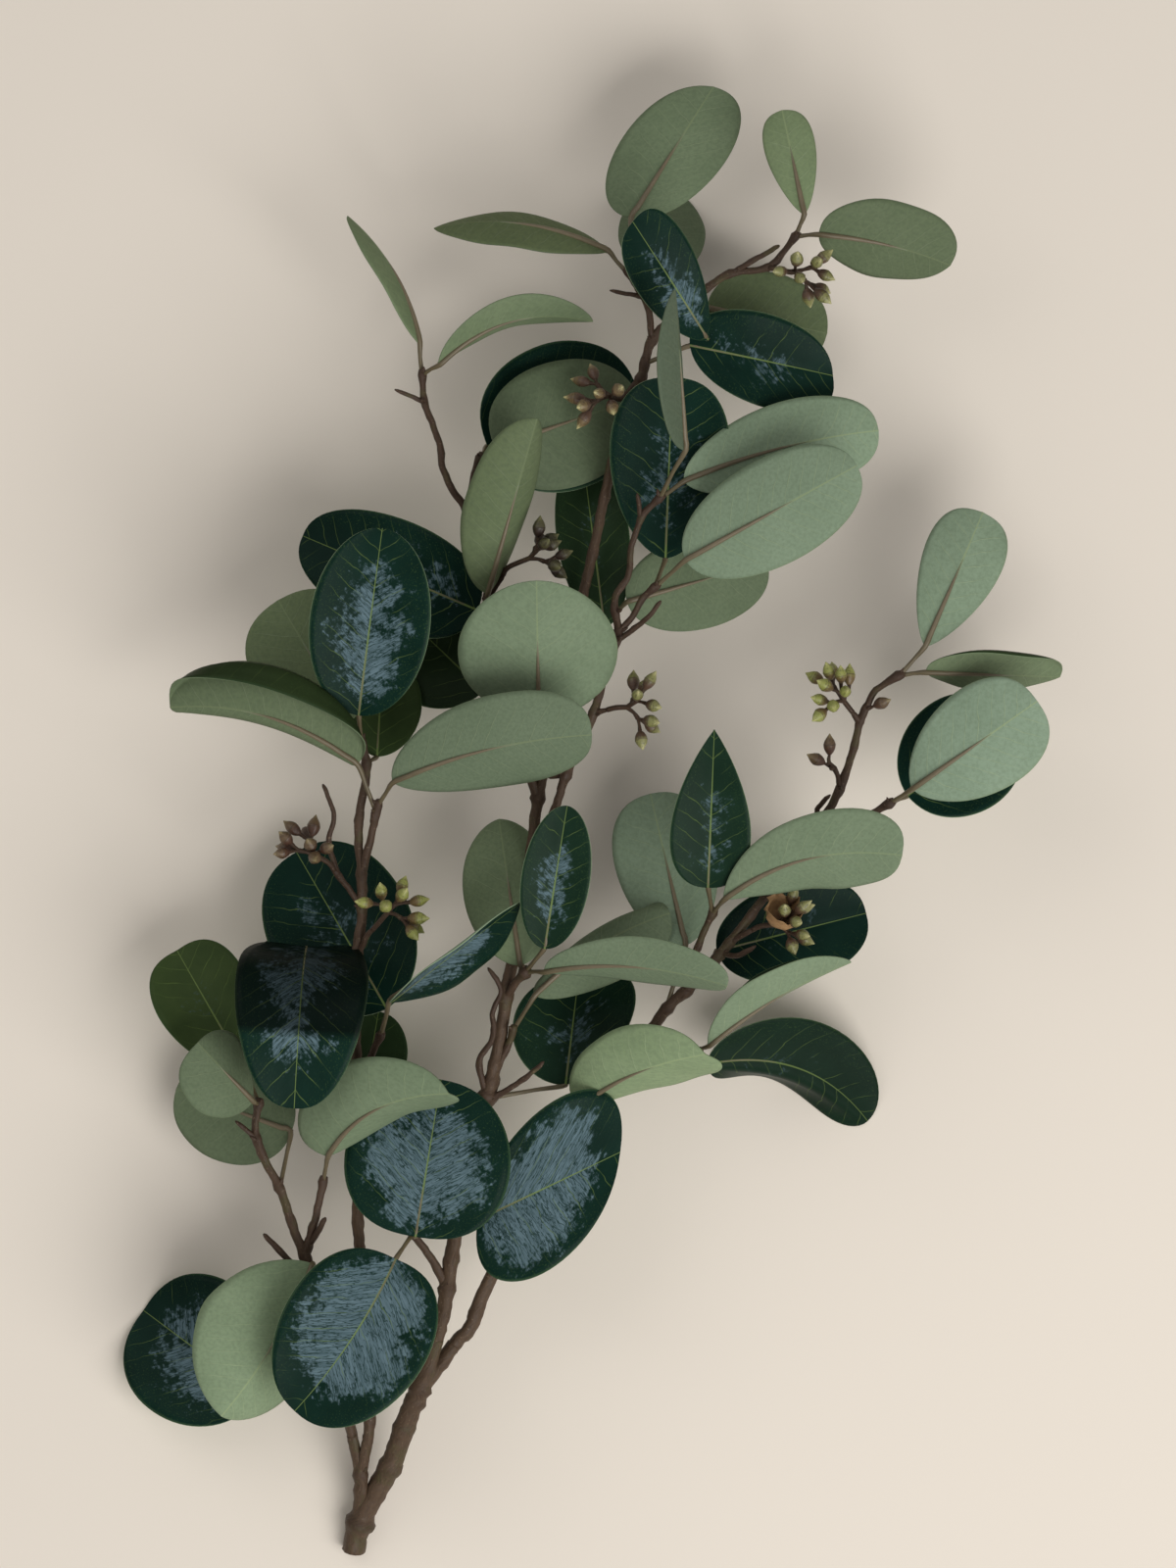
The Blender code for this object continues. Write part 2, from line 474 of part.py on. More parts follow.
def build_wood(node, collection, material):
    """One woody node with its leaves."""
    pieces = new_pieces(node)
    branches = []
    for index in range(len(WOOD[node])):
        points, radii = branch_points(node, index)
        fineness = 1 if max(radii) > SLIGHT_TWIG_RADIUS else 0
        branches.append(tube(f"{node}_branch_{index}", points, radii, pieces, fineness))
    for index, spec in enumerate(LEAVES.get(node, [])):
        leaf(f"{node}_leaf_{index}", spec, pieces)
    for index in SINGLE_NUTS.get(node, []):
        foot, way, _ = branch_end(node, index)
        nut(f"{node}_nut_{index}", foot - way * MM, way, pieces)
    body = branches[0]
    return fuse(node, body, pieces_without(pieces, body), material, collection)


def pieces_without(pieces, body):
    pieces.objects.unlink(body)
    return pieces


def tilted(axis, tilt, turn):
    """Direction at an angle of tilt to axis, turned round it."""
    sideways = Matrix.Rotation(turn, 3, axis) @ axis.orthogonal().normalized()
    return (axis * math.cos(tilt) + sideways * math.sin(tilt)).normalized()


def bunch_arms(name, crown, axis):
    """Arms of a bunch: (end, direction, nuts), with foot and direction for each nut."""
    _, _, _, count, spread = BUNCHES[name]
    draw = random.Random(f"{SEED}{name}")
    arm_count = math.ceil(count / NUTS_ON_ARM)
    arms = []
    for arm in range(arm_count):
        tilt = math.radians(spread) * math.sqrt((arm + 0.4) / arm_count) * draw.uniform(0.9, 1.1)
        way = tilted(axis, tilt, GOLDEN_ANGLE * arm)
        end = crown + way * (draw.uniform(4.0, 7.0) * MM)
        nuts = []
        first = draw.uniform(0, math.tau)
        for index in range(min(NUTS_ON_ARM, count - arm * NUTS_ON_ARM)):
            opening = math.radians(draw.uniform(24, 44))
            ray = tilted(way, opening, first + math.tau * index / NUTS_ON_ARM)
            nuts.append((end + ray * (draw.uniform(2.5, 6.0) * MM), ray))
        arms.append((end, way, nuts))
    return arms


def build_bunch(name, collection, material):
    """One bunch: a stalk from the wood's end to the crown, arms from the crown, and nuts on short stalks."""
    node, branch, crown, _, _ = BUNCHES[name]
    foot, way, _ = branch_end(node, branch)
    start = foot + way * JOINT_GAP
    crown = place(*crown)
    axis = (crown - start).normalized()
    pieces = new_pieces(name)
    line = [start, start + way * COUPLING, crown, crown + axis * MM]
    body = tube(name + "_stalk", line, [BUNCH_STALK_RADIUS] * 3 + [BUNCH_STALK_RADIUS * 0.7], pieces)
    for arm, (end, arm_way, nuts) in enumerate(bunch_arms(name, crown, axis)):
        tube(f"{name}_arm_{arm}", [crown - axis * 0.4 * MM, end + arm_way * 0.5 * MM],
             [ARM_RADIUS, ARM_RADIUS], pieces, 0)
        for index, (nut_foot, ray) in enumerate(nuts):
            tube(f"{name}_stem_{arm}_{index}", [end - ray * 0.3 * MM, nut_foot + ray * MM],
                 [NUT_STALK_RADIUS, NUT_STALK_RADIUS], pieces, 0)
            nut(f"{name}_nut_{arm}_{index}", nut_foot, ray, pieces)
    return fuse(name, body, pieces_without(pieces, body), material, collection)


def stand_on_origin(objects):
    """Moves every mesh so that the sprig's box stands on the origin."""
    bpy.context.view_layer.update()
    corners = [vert.co for obj in objects for vert in obj.data.vertices]
    low = Vector(min(corner[axis] for corner in corners) for axis in range(3))
    high = Vector(max(corner[axis] for corner in corners) for axis in range(3))
    shift = Vector((-(low.x + high.x) / 2, -(low.y + high.y) / 2, -low.z))
    for obj in objects:
        obj.data.transform(Matrix.Translation(shift))
    return shift


def main():
    clear_scene()
    sprig = bpy.data.collections.new("eucalyptus_sprig")
    bpy.context.scene.collection.children.link(sprig)
    bark, leaf_green, nut_olive = (make_material(*look) for look in (BARK, LEAF, NUT))
    objects = []
    for node in WOOD:
        objects.append(build_wood(node, sprig, leaf_green if node in LEAVES else bark))
    for name in BUNCHES:
        objects.append(build_bunch(name, sprig, nut_olive))
    shift = stand_on_origin(objects)
    print("shift", tuple(round(value * 1000, 3) for value in shift))


if __name__ == "__main__":
    main()
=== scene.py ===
"""Looks of the eucalyptus sprig: fine leaves, stalks, bark and gum nuts in place of the plain solids.

Places are read off the same flat map as the part: x runs right and y runs down in map units,
and the height above the surface is in millimetres.
"""

import math
import random

import bmesh
import bpy
from mathutils import Matrix, Vector


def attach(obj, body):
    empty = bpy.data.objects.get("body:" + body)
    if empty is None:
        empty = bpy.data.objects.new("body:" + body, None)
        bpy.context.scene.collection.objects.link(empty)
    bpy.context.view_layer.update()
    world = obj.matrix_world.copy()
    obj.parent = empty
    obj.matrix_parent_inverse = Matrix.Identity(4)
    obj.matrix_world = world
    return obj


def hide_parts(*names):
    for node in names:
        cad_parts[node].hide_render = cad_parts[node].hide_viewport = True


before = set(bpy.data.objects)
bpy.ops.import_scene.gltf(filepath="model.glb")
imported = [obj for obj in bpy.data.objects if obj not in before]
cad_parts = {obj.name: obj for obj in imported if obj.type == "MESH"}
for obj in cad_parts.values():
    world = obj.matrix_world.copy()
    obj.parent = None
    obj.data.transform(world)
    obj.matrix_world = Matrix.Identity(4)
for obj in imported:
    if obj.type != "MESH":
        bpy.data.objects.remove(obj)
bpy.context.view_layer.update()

MAP_UNIT = 0.0004  # metres in one map unit
MM = 0.001
MAP_ORIGIN = Vector((-240.561, 336.235, -1.484)) * MM  # where the map's corner lies in the frame
SEED = 7
GOLDEN_ANGLE = math.radians(137.5)
COUPLING = 3 * MM  # straight run where one piece of wood meets the next
JOINT_GAP = 0.3 * MM
OVERLAP = 2.5 * MM  # how far a piece of wood runs back into the one it grows from
TWIG_OVERRUN = 2.5 * MM

BLADE_ROWS = 34
BLADE_COLUMNS = 10  # on each side of the rib
RIB_THICKNESS = 0.8 * MM
RIM_THICKNESS = 0.45 * MM
STALK_RADIUS = 0.9 * MM
TIP_HALF_WIDTH = 0.3 * MM
STEM_SIDES = 12
TUBE_SIDES = 8  # of leaf stalks and nut stalks
RING_SPACING = 1.6 * MM
KNOB_REACH = 2.5 * MM  # a joint this near to a branch makes a knob on it
KNOB_SIZE = 0.32  # share of the radius that a knob adds
KNOB_RINGS = 1.3
GROOVE_DEPTH = 0.3 * MM  # of the fold along the rib
GROOVE_WIDTH = 0.9 * MM
FINE_VEIN_SPACING = 2.1  # millimetres between the fine lines of a blade
UPPER_VEIN_SPACING = 7.5  # millimetres between side veins
UNDER_VEIN_SPACING = 6.5
VEIN_SLANT = 0.75  # millimetres along the rib for each one across
BLACK = (0.0, 0.0, 0.0)

# Outline of a blade: half width goes as t**base * (1 - t)**tip along the rib. A low power is blunt.
OUTLINES = {
    "broad": (0.38, 0.44),
    "round": (0.46, 0.42),
    "blunt": (0.58, 0.38),
    "spoon": (0.75, 0.34),
    "oval": (0.55, 0.52),
    "lance": (0.75, 0.75),
    "pointed": (0.50, 0.95),
}

DARK, PALE = 0, 180  # degrees of roll that turn the upper side, or the underside, to the viewer

# Branches of each woody node: points (x, y, height mm, radius mm). The first branch carries the others.
WOOD = {
    "trunk": [
        [(357, 1594, 5.5, 4.8), (364, 1562, 9, 4.8), (382, 1528, 15, 4.7), (397, 1500, 21, 4.6),
         (413, 1455, 30, 4.3), (428, 1420, 37, 3.8), (437, 1395, 41, 3.3), (445, 1368, 44, 3.1)],
        [(428, 1420, 37, 3.5), (447, 1397, 38, 3.1), (463, 1375, 39, 3.0)],
        [(364, 1562, 9, 3.0), (365, 1538, 14, 2.8), (366, 1512, 19, 2.6), (357, 1470, 25, 2.2)],
        [(366, 1512, 19, 2.4), (374, 1470, 28, 2.3)],
    ],
    "shoot_lower_left": [
        [(352, 1440, 30, 2.2), (345, 1400, 36, 2.2), (333, 1350, 42, 2.1), (320, 1310, 46, 2.1),
         (310, 1283, 48, 2.0), (300, 1258, 50, 1.9), (286, 1216, 52, 1.8), (268, 1180, 54, 1.7),
         (260, 1152, 55, 1.6), (264, 1127, 57, 1.4)],
        [(310, 1283, 48, 1.8), (318, 1255, 50, 1.7), (322, 1240, 51, 1.6), (329, 1207, 53, 1.6)],
        [(317, 1303, 47, 1.3), (296, 1289, 49, 1.3), (268, 1260, 51, 1.1)],
        [(313, 1274, 48, 1.3), (321, 1262, 52, 1.3), (332, 1243, 56, 1.2)],
        [(263, 1165, 55, 1.1), (252, 1154, 57, 1.0), (240, 1144, 59, 0.9)],
    ],
    "shoot_left": [
        [(375, 1440, 32, 2.3), (374, 1400, 36, 2.3), (372, 1340, 40, 2.3), (367, 1280, 44, 2.3),
         (364, 1240, 46, 2.3), (366, 1180, 48, 2.2), (366, 1120, 50, 2.2), (363, 1084, 52, 2.2),
         (362, 1040, 54, 2.1), (362, 1002, 56, 2.1), (365, 965, 57, 2.1), (369, 933, 58, 2.0),
         (369, 892, 60, 2.0), (366, 860, 61, 1.8), (367, 830, 62, 1.8), (373, 800, 63, 1.7),
         (374, 775, 64, 1.6), (369, 757, 66, 1.4)],
        [(369, 892, 60, 1.7), (378, 858, 65, 1.6), (383, 834, 68, 1.5), (386, 822, 70, 1.4)],
        [(366, 1110, 50, 1.6), (378, 1080, 56, 1.5), (388, 1058, 60, 1.3)],
        [(365, 975, 57, 1.2), (375, 955, 63, 1.1), (382, 947, 66, 1.1)],
        [(368, 925, 58, 1.3), (355, 905, 61, 1.2), (345, 893, 64, 1.2), (340, 886, 66, 1.1)],
        [(345, 893, 64, 1.2), (336, 858, 66, 1.1), (341, 832, 68, 1.0), (330, 800, 70, 0.9)],
    ],
    "shoot_middle": [
        [(453, 1335, 46, 3.1), (462, 1275, 48, 3.0), (470, 1220, 50, 3.0), (482, 1170, 52, 2.9),
         (497, 1120, 53, 2.8), (507, 1075, 54, 2.7), (514, 1035, 55, 2.6), (517, 1010, 55, 2.6),
         (524, 975, 55, 2.5), (533, 925, 55, 2.5), (541, 880, 56, 2.4), (549, 815, 58, 2.3),
         (556, 785, 60, 2.1)],
        [(549, 815, 58, 2.0), (541, 792, 61, 1.9), (535, 770, 63, 1.8)],
        [(535, 915, 55, 1.9), (552, 872, 61, 1.8), (563, 835, 65, 1.8), (569, 818, 67, 1.8)],
        [(516, 1018, 55, 1.8), (526, 1003, 61, 1.7), (536, 992, 65, 1.5)],
        [(500, 1105, 53, 1.7), (516, 1072, 55, 1.5), (523, 1052, 58, 1.3)],
        [(497, 1118, 53, 1.4), (489, 1084, 58, 1.3), (503, 1058, 61, 1.2), (503, 1032, 63, 1.1),
         (511, 1010, 65, 1.0), (498, 987, 68, 0.9)],
        [(500, 1122, 53, 1.3), (520, 1111, 57, 1.2), (541, 1096, 61, 1.0), (555, 1083, 64, 0.9)],
        [(455, 1315, 46, 1.9), (440, 1285, 51, 1.7), (421, 1259, 56, 1.4)],
    ],
    "shoot_upper_left": [
        [(528, 740, 63, 1.8), (519, 705, 62, 1.8), (510, 670, 61, 1.8), (503, 635, 60, 1.8),
         (499, 610, 60, 1.7), (490, 565, 60, 1.6), (479, 527, 61, 1.6), (462, 500, 61, 1.5),
         (452, 478, 61, 1.4), (449, 455, 61, 1.4), (441, 432, 62, 1.3), (433, 410, 62, 1.3),
         (431, 383, 63, 1.2)],
        [(479, 527, 61, 1.4), (481, 500, 64, 1.3), (485, 480, 66, 1.3), (490, 468, 67, 1.2)],
        [(433, 410, 62, 1.0), (418, 404, 64, 0.9), (403, 398, 66, 0.8)],
        [(499, 610, 60, 1.2), (509, 594, 64, 1.1), (515, 585, 66, 1.1)],
    ],
    "shoot_top": [
        [(561, 750, 60, 2.1), (572, 700, 59, 2.1), (585, 650, 58, 2.1), (596, 603, 57, 2.1),
         (608, 550, 57, 2.0), (616, 510, 57, 2.0), (626, 465, 57, 1.9), (640, 420, 57, 1.9),
         (656, 380, 57, 1.8), (665, 348, 58, 1.8), (690, 322, 60, 1.7), (714, 300, 62, 1.6),
         (745, 280, 64, 1.5), (783, 274, 66, 1.4), (800, 257, 68, 1.3), (811, 243, 70, 1.2)],
        [(665, 348, 58, 1.5), (662, 318, 61, 1.4), (652, 295, 63, 1.3), (640, 279, 66, 1.2)],
        [(655, 303, 62, 1.0), (639, 300, 64, 0.9), (622, 297, 66, 0.8)],
        [(745, 280, 64, 1.2), (770, 266, 67, 1.1), (795, 252, 71, 1.0)],
        [(654, 385, 57, 1.1), (644, 396, 57, 1.1), (638, 402, 57, 1.1)],
        [(783, 274, 66, 1.1), (793, 276, 69, 1.1), (801, 278, 71, 1.1)],
    ],
    "shoot_upper_right": [
        [(575, 797, 69, 1.8), (588, 765, 70, 1.8), (603, 735, 70, 1.8), (615, 695, 70, 1.7),
         (624, 665, 70, 1.7), (631, 645, 70, 1.6), (627, 612, 71, 1.4), (641, 588, 72, 1.3),
         (644, 560, 74, 1.3), (654, 530, 76, 1.2), (665, 517, 78, 1.2), (673, 510, 79, 1.1)],
        [(631, 645, 70, 1.4), (645, 630, 72, 1.3), (655, 612, 74, 1.3), (668, 600, 76, 1.2)],
        [(628, 655, 70, 1.2), (650, 640, 74, 1.1), (664, 627, 78, 1.0), (674, 614, 81, 0.9)],
        [(578, 790, 69, 1.4), (562, 792, 67, 1.3), (558, 788, 66, 1.2)],
        [(606, 728, 70, 1.2), (614, 726, 72, 1.1), (622, 724, 74, 1.1)],
        [(654, 530, 76, 1.0), (650, 505, 80, 0.9)],
    ],
    "shoot_right": [
        [(479, 1357, 40, 3.0), (494, 1318, 41, 2.9), (509, 1292, 42, 2.8), (535, 1250, 43, 2.7),
         (565, 1205, 44, 2.5), (600, 1150, 45, 2.4), (626, 1112, 46, 2.4), (650, 1076, 47, 2.3),
         (678, 1033, 49, 2.2), (709, 1004, 52, 2.1), (728, 982, 54, 2.0), (745, 962, 55, 1.9),
         (773, 925, 57, 1.8), (800, 890, 57, 1.8), (822, 862, 57, 1.8)],
        [(702, 1010, 52, 1.6), (708, 978, 58, 1.5), (717, 953, 62, 1.4), (727, 932, 65, 1.3)],
        [(745, 962, 55, 1.3), (760, 953, 59, 1.2), (770, 948, 61, 1.1)],
        [(736, 973, 54, 1.2), (752, 975, 61, 1.1), (771, 965, 65, 0.9)],
        [(622, 1118, 46, 1.6), (665, 1098, 49, 1.5), (698, 1081, 52, 1.4), (711, 1074, 54, 1.3)],
    ],
    "shoot_right_tip": [
        [(837, 842, 58, 1.8), (846, 827, 59, 1.8), (857, 805, 60, 1.7), (868, 775, 61, 1.6),
         (873, 755, 62, 1.6), (877, 737, 63, 1.5), (882, 725, 64, 1.4), (891, 708, 66, 1.4),
         (904, 697, 68, 1.3), (917, 690, 69, 1.3)],
        [(877, 737, 63, 1.3), (872, 730, 65, 1.2), (868, 725, 66, 1.1)],
        [(857, 805, 60, 1.1), (853, 788, 64, 0.9), (846, 778, 66, 0.8), (846, 768, 67, 0.7)],
        [(849, 783, 65, 0.8), (839, 778, 67, 0.7)],
        [(883, 724, 64, 0.9), (893, 720, 67, 0.7)],
        [(842, 835, 59, 1.6), (862, 838, 61, 1.5), (884, 833, 63, 1.5), (907, 820, 66, 1.4)],
        [(838, 839, 58, 1.2), (834, 826, 61, 1.1), (847, 811, 66, 0.9)],
    ],
}

GROWS_FROM = {
    "shoot_lower_left": ("trunk", 2),
    "shoot_left": ("trunk", 3),
    "shoot_middle": ("trunk", 0),
    "shoot_right": ("trunk", 1),
    "shoot_upper_left": ("shoot_middle", 1),
    "shoot_top": ("shoot_middle", 0),
    "shoot_upper_right": ("shoot_middle", 2),
    "shoot_right_tip": ("shoot_right", 0),
}

LEAVES = {
    "shoot_lower_left": [
        ((320, 1311, 46), (318, 1290, 55), (226, 1444, 66), 58, "oval", PALE, -28, 28, 3, 3),
        ((347, 1412, 34), (262, 1430, 24), (140, 1345, 2), 62, "round", DARK, 0, 8, 2, 0),
        ((264, 1127, 57), (258, 1124, 63), (203, 1063, 78), 38, "blunt", PALE, 35, 15, 3, 0),
        ((264, 1127, 57), (248, 1089, 50), (178, 971, 34), 40, "blunt", DARK, 0, 10, 3, 0),
        ((285, 1212, 52), (296, 1156, 42), (176, 1114, 22), 44, "round", PALE, 0, 8, 0, 0),
        ((329, 1207, 53), (335, 1179, 64), (459, 1113, 92), 39, "broad", PALE, 31, 33, 4, 8, 0.6),
    ],
    "shoot_left": [
        ((388, 1058, 60), (394, 1030, 46), (300, 870, 26), 59, "round", DARK, 0, 8, -2, 0),
        ((388, 1058, 60), (399, 1022, 71), (531, 920, 80), 40, "lance", DARK, 70, 15, 5, 0),
        ((362, 990, 56), (312, 968, 34), (302, 1129, 84), 54, "round", DARK, 0, 5, 30, 0),
        ((366, 1150, 49), (368, 1130, 34), (384, 1035, 16), 30, "oval", DARK, 0, 10, 0, 0),
        ((362, 1040, 54), (335, 1040, 30), (258, 972, 2), 38, "oval", DARK, 0, 10, 0, 0),
        ((386, 822, 70), (402, 798, 78), (604, 750, 96), 42, "blunt", PALE, 25, 15, 5, 4),
        ((384, 828, 69), (366, 780, 76), (175, 722, 72), 50, "oval", PALE, -20, 20, 8, 0),
        ((369, 757, 66), (367, 730, 76), (392, 541, 92), 49, "oval", DARK, 0, 12, 5, 0),
        ((369, 757, 66), (357, 736, 58), (283, 612, 50), 50, "blunt", PALE, 0, 8, 2, 0),
        ((373, 780, 64), (384, 772, 50), (390, 668, 34), 34, "oval", DARK, 15, 10, 2, 0),
    ],
    "shoot_middle": [
        ((421, 1259, 56), (404, 1284, 66), (302, 1437, 78), 61, "broad", DARK, 0, 8, 4, 3),
        ((421, 1259, 56), (424, 1262, 61), (450, 1102, 56), 68, "broad", DARK, 0, 2, 1, 0),
        ((466, 1250, 49), (487, 1246, 51), (633, 1176, 56), 62, "round", DARK, 0, 6, 2, 0, -0.65),
        ((505, 1120, 53), (577, 1108, 44), (591, 993, 30), 49, "blunt", DARK, 0, 10, 0, 0, 0.3),
        ((536, 992, 65), (531, 985, 60), (509, 836, 50), 38, "oval", PALE, 0, 15, 4, 0),
        ((536, 992, 65), (556, 967, 78), (579, 822, 92), 28, "oval", DARK, 0, 15, 3, 0),
        ((536, 992, 65), (556, 990, 74), (741, 1004, 94), 28, "blunt", PALE, 50, 15, 4, 5),
        ((523, 1052, 58), (546, 1016, 52), (684, 932, 52), 34, "blunt", PALE, 0, 15, 3, 4),
    ],
    "shoot_upper_left": [
        ((490, 468, 67), (497, 455, 54), (650, 392, 22), 61, "broad", DARK, 0, 6, 3, 0),
        ((490, 468, 67), (505, 457, 62), (652, 404, 40), 52, "broad", PALE, 0, 6, 2, 0),
        ((431, 383, 63), (427, 350, 66), (354, 220, 54), 28, "lance", PALE, 78, 15, 3, -5),
        ((431, 383, 63), (448, 372, 68), (605, 328, 62), 26, "lance", PALE, 65, 15, 3, 9),
        ((499, 610, 60), (497, 606, 68), (548, 430, 88), 32, "oval", PALE, 35, 35, 3, 0),
        ((503, 635, 60), (487, 622, 48), (307, 545, 32), 45, "broad", DARK, 0, 8, 3, 0),
        ((515, 690, 62), (493, 705, 44), (417, 632, 20), 48, "round", DARK, 0, 8, 0, 0),
    ],
    "shoot_top": [
        ((811, 243, 70), (820, 221, 73), (798, 113, 62), 21, "spoon", PALE, 0, 15, 2, 0),
        ((811, 243, 70), (835, 240, 72), (970, 270, 56), 38, "round", PALE, 36, 12, 4, 2),
        ((640, 279, 66), (620, 258, 69), (443, 233, 58), 24, "lance", PALE, 50, 15, 3, -6),
        ((648, 289, 64), (644, 221, 50), (729, 84, 34), 41, "round", PALE, 0, 8, 3, 0, 0.4),
        ((652, 295, 63), (662, 272, 40), (692, 188, 2), 36, "oval", PALE, 0, 8, 0, 0),
        ((703, 310, 61), (722, 347, 68), (645, 231, 94), 29, "spoon", DARK, 8, 8, 5, 0, 0.3),
        ((660, 370, 57), (704, 353, 64), (850, 383, 56), 38, "round", DARK, 0, 10, 4, 0, 0.35),
        ((700, 313, 61), (722, 312, 46), (846, 336, 24), 40, "round", PALE, 0, 8, 0, 0),
    ],
    "shoot_upper_right": [
        ((673, 510, 79), (697, 462, 96), (687, 303, 118), 32, "lance", PALE, 72, 15, 3, 0),
        ((673, 510, 79), (698, 492, 74), (896, 440, 66), 37, "blunt", PALE, 0, 10, 4, 3),
        ((668, 600, 76), (679, 570, 65), (686, 386, 72), 49, "blunt", DARK, 0, 8, -2, 0),
        ((668, 600, 76), (699, 573, 84), (872, 478, 96), 43, "round", PALE, 0, 10, 4, 0),
        ((629, 625, 71), (640, 614, 56), (784, 572, 38), 39, "round", PALE, 0, 8, 2, 0),
        ((624, 665, 70), (617, 640, 48), (594, 458, 30), 30, "oval", DARK, 0, 10, 3, 0),
        ((559, 790, 66), (550, 737, 66), (548, 594, 92), 65, "oval", PALE, 0, 8, 6, 0),
    ],
    "shoot_right": [
        ((602, 1146, 45), (592, 1130, 50), (719, 1074, 82), 35, "blunt", PALE, 28, 26, 3, 4, 0.6),
        ((680, 1030, 49), (700, 965, 50), (664, 810, 36), 42, "blunt", PALE, 0, 10, 0, 0),
        ((727, 932, 65), (722, 905, 76), (728, 745, 90), 33, "pointed", DARK, 0, 12, 5, 0),
        ((727, 932, 65), (738, 917, 78), (918, 872, 93), 38, "spoon", PALE, 30, 12, 5, 8),
        ((728, 982, 54), (732, 971, 45), (886, 933, 28), 41, "round", DARK, 0, 8, 0, 0),
        ((711, 1074, 54), (723, 1066, 60), (868, 981, 68), 34, "lance", PALE, 65, 15, 2, 3),
        ((703, 1078, 53), (722, 1087, 42), (889, 1149, 2), 42, "oval", DARK, 0, 12, 2, 11),
    ],
    "shoot_right_tip": [
        ((917, 690, 69), (943, 660, 72), (1003, 523, 60), 33, "spoon", PALE, 0, 10, 3, 0),
        ((917, 690, 69), (944, 685, 71), (1082, 690, 56), 34, "oval", PALE, 55, 15, 4, 0),
        ((907, 820, 66), (930, 805, 74), (1055, 716, 90), 44, "blunt", PALE, 0, 10, 3, 0),
        ((907, 820, 66), (926, 812, 58), (1030, 735, 34), 49, "round", DARK, 0, 8, 0, 0),
    ],
}

BUNCHES = {
    "nuts_left": ("shoot_left", 4, (322, 872, 72), 9, 75),
    "nuts_middle_left": ("shoot_left", 3, (397, 930, 74), 9, 75),
    "nuts_upper_left": ("shoot_upper_left", 3, (541, 570, 70), 8, 60),
    "nuts_top": ("shoot_top", 4, (622, 404, 62), 8, 75),
    "nuts_top_right": ("shoot_top", 5, (812, 279, 76), 9, 75),
    "nuts_middle": ("shoot_upper_right", 4, (640, 722, 78), 8, 75),
    "nuts_right": ("shoot_right", 2, (793, 943, 68), 8, 60),
    "nuts_right_tip": ("shoot_right_tip", 1, (860, 715, 69), 10, 65),
}

SINGLE_NUTS = {"shoot_right_tip": [2, 3, 4]}

# Look of each leaf, from 0 to 1: warmth from blue-green to olive, light kept (the leaf's own tone and painted
# shade), and the amount of painted reflection on the upper side, a blue-grey sheen.
LEAF_LOOKS = {
    "shoot_lower_left": [(0.4, 0.93, 0), (0.0, 1, 0.65), (0.5, 0.55, 0), (0.8, 1, 0.15),
                         (0.55, 0.52, 0), (0.4, 0.72, 0)],
    "shoot_left": [(0.0, 1, 0.38), (0.0, 1, 0.65), (0.0, 1, 0.85), (0.4, 1, 0.1), (0.1, 0.6, 0.1),
                   (0.35, 0.58, 0), (0.65, 0.53, 0), (0.0, 1, 0.6), (0.8, 0.62, 0), (0.7, 1, 0.1)],
    "shoot_middle": [(0.0, 1, 0.88), (0.0, 1, 0.74), (0.0, 1, 0.86), (0.1, 1, 0.35),
                     (0.6, 0.65, 0), (0.1, 1, 0.5), (0.35, 0.65, 0), (0.45, 0.55, 0)],
    "shoot_upper_left": [(0.0, 1, 0.25), (0.55, 0.46, 0), (0.7, 0.7, 0), (0.6, 0.7, 0), (0.8, 0.54, 0),
                         (0.0, 1, 0.45), (0.35, 0.7, 0.1)],
    "shoot_top": [(0.7, 0.85, 0), (0.65, 0.5, 0), (0.95, 0.45, 0), (0.5, 0.65, 0), (0.5, 0.55, 0),
                  (0.0, 1, 0.5), (0.0, 1, 0.35), (0.85, 0.5, 0)],
    "shoot_upper_right": [(0.2, 0.4, 0), (0.15, 1, 0), (0.0, 1, 0.36), (0.15, 0.85, 0), (0.5, 0.6, 0),
                          (0.3, 1, 0.25), (0.35, 0.78, 0)],
    "shoot_right": [(0.6, 0.98, 0), (0.1, 0.88, 0), (0.1, 1, 0.35), (0.35, 0.72, 0), (0.0, 0.8, 0.2),
                    (0.3, 0.83, 0), (0.1, 0.75, 0.15)],
    "shoot_right_tip": [(0.1, 0.95, 0), (0.6, 0.65, 0), (0.0, 1, 0), (0.0, 1, 0.42)],
}

# Colours of the nuts: cup, cap and tip.
NUT_COLOURS = {
    "brown": ((0.075, 0.036, 0.022), (0.11, 0.07, 0.035), (0.24, 0.19, 0.09)),
    "dark": ((0.035, 0.02, 0.013), (0.06, 0.055, 0.022), (0.13, 0.13, 0.05)),
    "green": ((0.15, 0.1, 0.04), (0.26, 0.28, 0.07), (0.42, 0.42, 0.16)),
    "cream": ((0.1, 0.055, 0.035), (0.17, 0.12, 0.055), (0.55, 0.5, 0.24)),
    "olive": ((0.09, 0.05, 0.03), (0.2, 0.2, 0.07), (0.45, 0.43, 0.2)),
}
BUNCH_LOOKS = {
    "nuts_left": "brown",
    "nuts_middle_left": "green",
    "nuts_upper_left": "dark",
    "nuts_top": "cream",
    "nuts_top_right": "olive",
    "nuts_middle": "olive",
    "nuts_right": "olive",
    "nuts_right_tip": "green",
}

